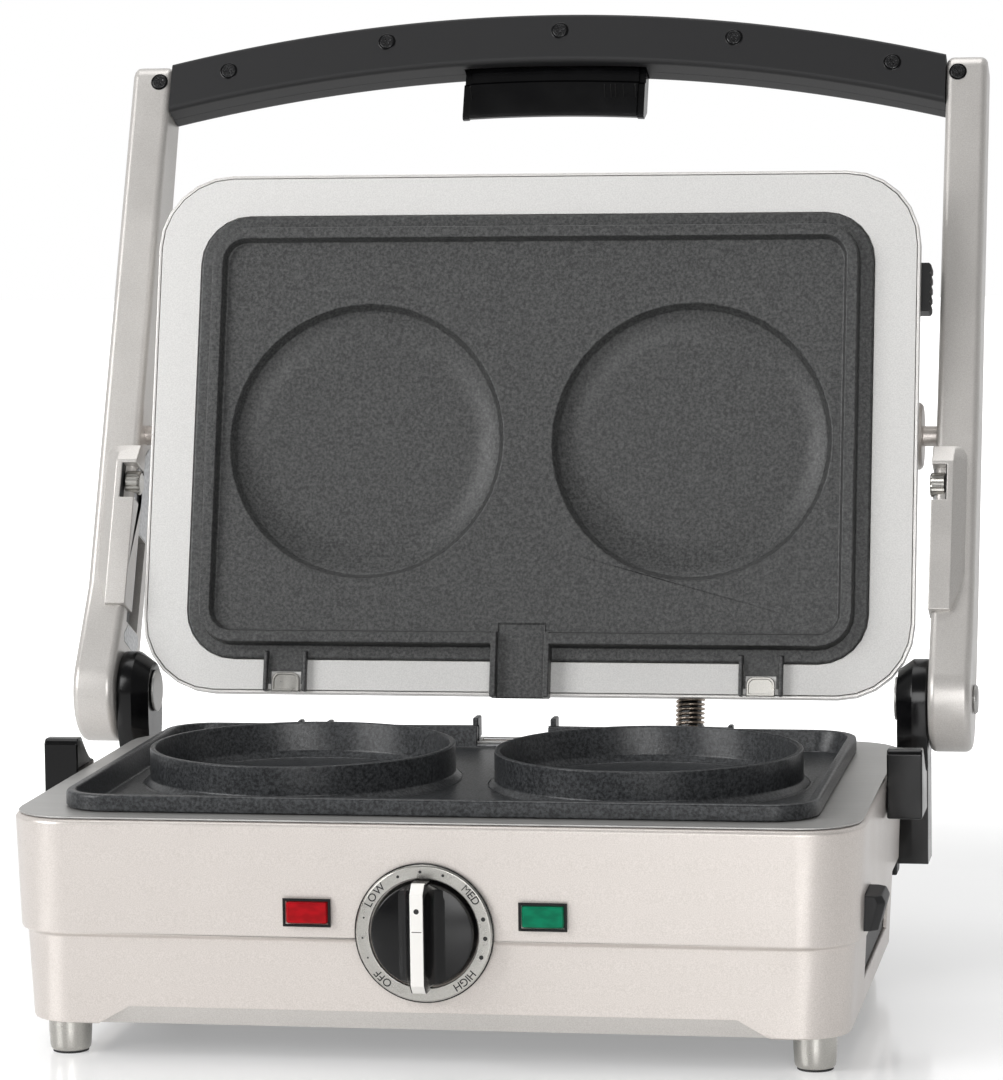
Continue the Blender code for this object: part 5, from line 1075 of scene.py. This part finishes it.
# The mark and the line on the knob's strip
MARK_PLACE = 11.5
MARK_PROUD = 0.16
MARK_RADIUS = 1.05 * MM
MARK_POINTS = 24
LINE_PLACE = 3.4
LINE_SIZE = (3.8 * MM, PRINT_DEPTH, 0.3 * MM)

# Turns a flat print to face the front
UPRIGHT = Matrix.Rotation(math.pi / 2, 4, "X")


def on_dial(angle):
    """A move onto the ring, clockwise from its top as seen from the front."""
    turn = math.radians(angle)
    spot = Vector((math.sin(turn) * RING_MIDDLE, -RING_FACE, math.cos(turn) * RING_MIDDLE))
    return Matrix.Translation(DIAL + spot)


def make_letters(word):
    """A word's letters, each an object of its own, flat and slightly bold."""
    letters = []
    for letter in word:
        curve = bpy.data.curves.new(letter, "FONT")
        curve.body = letter
        curve.size = LETTER_SIZE
        curve.align_x = "CENTER"
        curve.align_y = "CENTER"
        curve.offset = 0 if letter == "M" else LETTER_WEIGHT
        curve.extrude = PRINT_DEPTH / 2
        letters.append(applied(link("letter", curve)))
    return letters


def make_dial_print():
    """Setting words and growing dots, printed on the chrome ring."""
    bm = bmesh.new()
    for word, middle in WORDS:
        letters = make_letters(word)
        widths = [text.dimensions.x for text in letters]
        along = -(sum(widths) + LETTER_GAP * (len(word) - 1)) / 2
        for text, width in zip(letters, widths):
            angle = middle + math.degrees((along + width / 2) / RING_MIDDLE)
            along += width + LETTER_GAP
            lean = Matrix.Rotation(math.radians(angle), 4, "Y")
            text.data.transform(on_dial(angle) @ lean @ UPRIGHT)
            bm.from_mesh(text.data)
            bpy.data.objects.remove(text)
    for radius, angles in DOTS:
        for angle in angles:
            disc(bm, radius * MM, PRINT_DEPTH, on_dial(angle) @ UPRIGHT, DOT_POINTS)
    seat(link("dial_print", to_mesh("dial_print", bm)), "base", "black_plastic", finish=INK)


def make_knob_mark():
    """Round mark and cross line on the knob's chrome strip."""
    face = KNOB_FRONT + MARK_PROUD
    bm = bmesh.new()
    spot = Matrix.Translation(on_knob(0, face, MARK_PLACE)) @ UPRIGHT
    disc(bm, MARK_RADIUS, PRINT_DEPTH, spot, MARK_POINTS)
    line = Matrix.Translation(on_knob(0, face, LINE_PLACE)) @ Matrix.Diagonal((*LINE_SIZE, 1.0))
    bmesh.ops.create_cube(bm, size=1.0, matrix=line)
    seat(link("knob_mark", mesh_from("knob_mark", bm)), "knob", "black_plastic", finish=INK)


# Camera that matches the photograph's view
CAMERA_PLACE = (316.8 * MM, -1837.1 * MM, 385.1 * MM)
CAMERA_YAW = 0.1700
CAMERA_PITCH = 0.1035
CAMERA_ROLL = -0.0128
FOCAL_PIXELS = 4368.8
PHOTO_HEIGHT = 1080
SENSOR = 36

# Studio: how bright the white room is to matt surfaces, and to glossy ones in front and behind;
# the floor's own glow near the grill and how far out it turns white; and the soft boxes
DIFFUSE_ROOM = 0.2
FRONT_ROOM = 0.14
BACK_ROOM = 0.8
FLOOR_GLOW = 0.3
FLOOR_NEAR = 0.34
FLOOR_FAR = 0.85
FLOOR_HALF = 6
FLOOR_DEPTH = 0.02
ROOM_FRONT = -0.5
ROOM_BACK = 0.7
LAMPS = (
    ("key_softbox", (-1.9, -1.5, 1.2), (0, 0, 0.15), (1.4, 1.4), 42),
    ("fill_softbox", (0.5, -2.6, 0.75), (0, 0, 0.15), (1.2, 1.2), 25),
    ("top_softbox", (-0.2, 0.3, 2.2), (0, 0, 0), (1.6, 1.2), 14),
)


def make_camera():
    """A camera at the photograph's viewing angle."""
    data = bpy.data.cameras.new("camera")
    data.sensor_fit = "VERTICAL"
    data.sensor_height = SENSOR
    data.lens = FOCAL_PIXELS / PHOTO_HEIGHT * SENSOR
    data.clip_end = 20
    camera = link("camera", data)
    yaw = Matrix.Rotation(CAMERA_YAW, 4, "Z")
    tilt = Matrix.Rotation(math.pi / 2 - CAMERA_PITCH, 4, "X")
    roll = Matrix.Rotation(CAMERA_ROLL, 4, "Z")
    camera.matrix_world = Matrix.Translation(CAMERA_PLACE) @ yaw @ tilt @ roll
    bpy.context.scene.camera = camera


def make_light(name, place, aim, size, power):
    """A soft box: an area lamp turned to a point."""
    data = bpy.data.lights.new(name, "AREA")
    data.shape = "RECTANGLE"
    data.size, data.size_y = size
    data.energy = power
    lamp = link(name, data)
    lamp.location = place
    lamp.rotation_euler = (Vector(aim) - Vector(place)).to_track_quat("-Z", "Y").to_euler()


def maths(tree, operation, first, second):
    """The result of one sum in a node tree."""
    return add(tree, "ShaderNodeMath", {0: first, 1: second}, operation=operation).outputs[0]


def fade(tree, value, start, end, low, high):
    """A value that eases from low to high as another goes from start to end."""
    inputs = {"Value": value, "From Min": start, "From Max": end, "To Min": low, "To Max": high}
    return add(tree, "ShaderNodeMapRange", inputs, interpolation_type="SMOOTHSTEP").outputs["Result"]


def make_room():
    """White room, full to the camera, dim in front of the grill to glossy surfaces and dim to matt ones."""
    world = bpy.data.worlds.new("studio")
    bpy.context.scene.world = world
    world.use_nodes = True
    tree = world.node_tree
    rays = add(tree, "ShaderNodeLightPath").outputs
    seen = maths(tree, "MAXIMUM", rays["Is Camera Ray"], rays["Is Transmission Ray"])
    where = add(tree, "ShaderNodeTexCoord")
    axes = add(tree, "ShaderNodeSeparateXYZ", {"Vector": where.outputs["Generated"]})
    room = fade(tree, axes.outputs["Y"], ROOM_FRONT, ROOM_BACK, FRONT_ROOM, BACK_ROOM)
    glossy = maths(tree, "MULTIPLY", rays["Is Glossy Ray"], room)
    strength = maths(tree, "MAXIMUM", maths(tree, "MAXIMUM", seen, glossy), DIFFUSE_ROOM)
    background = tree.nodes["Background"]
    background.inputs["Color"].default_value = linear("#ffffff")
    tree.links.new(strength, background.inputs["Strength"])


def make_floor():
    """Glossy white board that glows a little by the grill and turns white far out."""
    floor = block("floor", (-FLOOR_HALF, -FLOOR_HALF, -FLOOR_DEPTH), (FLOOR_HALF, FLOOR_HALF, 0))
    finish = coating("white_gloss_board", "#f4f4f4", 0.12, specular=0.35)
    gloss(finish, grain(finish, 60), 0.08, 0.16)
    tree = finish.node_tree
    rays = add(tree, "ShaderNodeLightPath").outputs
    where = add(tree, "ShaderNodeTexCoord")
    away = add(tree, "ShaderNodeVectorMath", {0: where.outputs["Object"]}, operation="LENGTH")
    glow = fade(tree, away.outputs["Value"], FLOOR_NEAR, FLOOR_FAR, FLOOR_GLOW, 1.0)
    camera = maths(tree, "MULTIPLY", rays["Is Camera Ray"], glow)
    mirrored = maths(tree, "MULTIPLY", rays["Is Glossy Ray"], FLOOR_GLOW)
    shader = tree.nodes["Principled BSDF"]
    shader.inputs["Emission Color"].default_value = linear("#ffffff")
    tree.links.new(maths(tree, "MAXIMUM", camera, mirrored), shader.inputs["Emission Strength"])
    floor.data.materials.append(finish)


def make_studio():
    """Room, floor and soft boxes."""
    make_room()
    make_floor()
    for lamp in LAMPS:
        make_light(*lamp)


# The conduit's route, as it hangs at rest
CONDUIT_SUNK = 7.7 * MM
CONDUIT_STEPS = 48
CONDUIT_WIRE = 0.6 * MM
CONDUIT_OUTER = 6.6 * MM
CONDUIT_PITCH = 2.0 * MM
CONDUIT_END_GAP = 0.9 * MM
COIL_POINTS = 18
COIL_SMOOTH = 60


def conduit_route():
    """Smooth centre line from the cover's rear wall down into the rear cover."""
    start = Vector(CONDUIT_START)
    entry = Vector(CONDUIT_FOOT)
    reach = (start - entry).length
    lead = -COVER_UP * reach / 3
    rise = Vector((0, 0, reach / 3))
    points = []
    for i in range(CONDUIT_STEPS + 1):
        t = i / CONDUIT_STEPS
        u = 1 - t
        near = start * u**3 + (start + lead) * (3 * u * u * t)
        points.append(near + (entry + rise) * (3 * u * t * t) + entry * t**3)
    points.append(entry - Vector((0, 0, CONDUIT_SUNK)))
    return points


def at_length(points, distance):
    """(place, direction) at a distance along a list of points."""
    for a, b in zip(points, points[1:]):
        step = (b - a).length
        if distance <= step:
            break
        distance -= step
    return a.lerp(b, distance / step), (b - a).normalized()


def make_conduit():
    """Wound steel wire of the conduit, as one unbroken fine coil."""
    route = conduit_route()
    length = sum((b - a).length for a, b in zip(route, route[1:]))
    wound = length - 2 * CONDUIT_END_GAP
    count = int(wound / CONDUIT_PITCH * COIL_POINTS)
    radius = CONDUIT_OUTER - CONDUIT_WIRE
    curve = bpy.data.curves.new("conduit_winding", "CURVE")
    curve.dimensions = "3D"
    curve.bevel_depth = CONDUIT_WIRE
    curve.bevel_resolution = 2
    curve.use_fill_caps = True
    spline = curve.splines.new("POLY")
    spline.points.add(count)
    for i, spot in enumerate(spline.points):
        place, ahead = at_length(route, CONDUIT_END_GAP + wound * i / count)
        side = Vector((1, 0, 0))
        up = ahead.cross(side)
        angle = math.tau * i / COIL_POINTS
        spot.co = (*(place + radius * (math.cos(angle) * side + math.sin(angle) * up)), 1)
    winding = applied(link("conduit_winding", curve))
    bm = bmesh.new()
    bm.from_mesh(winding.data)
    bmesh.ops.remove_doubles(bm, verts=bm.verts, dist=MERGE)
    bm.to_mesh(winding.data)
    bm.free()
    smooth_by_angle(winding.data, COIL_SMOOTH)
    seat(winding, CONDUIT, "dark_steel", "conduit_coil")


# Solids whose shape is made anew; all others are copied
OWN_SHAPES = {"base_housing", "conduit_coil", "knob_body", "knob_strip"}
OWN_SHAPES |= {"handle_front", "handle_back", "handle_trigger"}
for side, _ in SIDES:
    OWN_SHAPES |= {"arm_" + side, "arm_box_" + side, "roller_" + side}
    OWN_SHAPES |= {"hinge_knuckle_" + side, "upper_hook_" + side}
OWN_SHAPES |= {node for node in frame["nodes"] if node.startswith("foot_")}


def make_fine_copies():
    """Copies of all the solids whose shape stays as it is."""
    for node in frame["nodes"]:
        if node not in OWN_SHAPES:
            fine_copy(node)


def make_details():
    """All the pieces that have a shape of their own here."""
    make_skirt()
    make_conduit()
    make_handle()
    make_trigger()
    make_trigger_ribs()
    make_arms()
    make_arm_boxes()
    make_rollers()
    make_knuckles()
    make_feet()
    make_hooks()
    make_knob()
    make_knob_inlay()
    make_gasket()
    make_handle_screws()
    make_dial_print()
    make_knob_mark()


bpy.context.scene.view_settings.view_transform = "Standard"
make_camera()
make_studio()
make_fine_copies()
make_details()
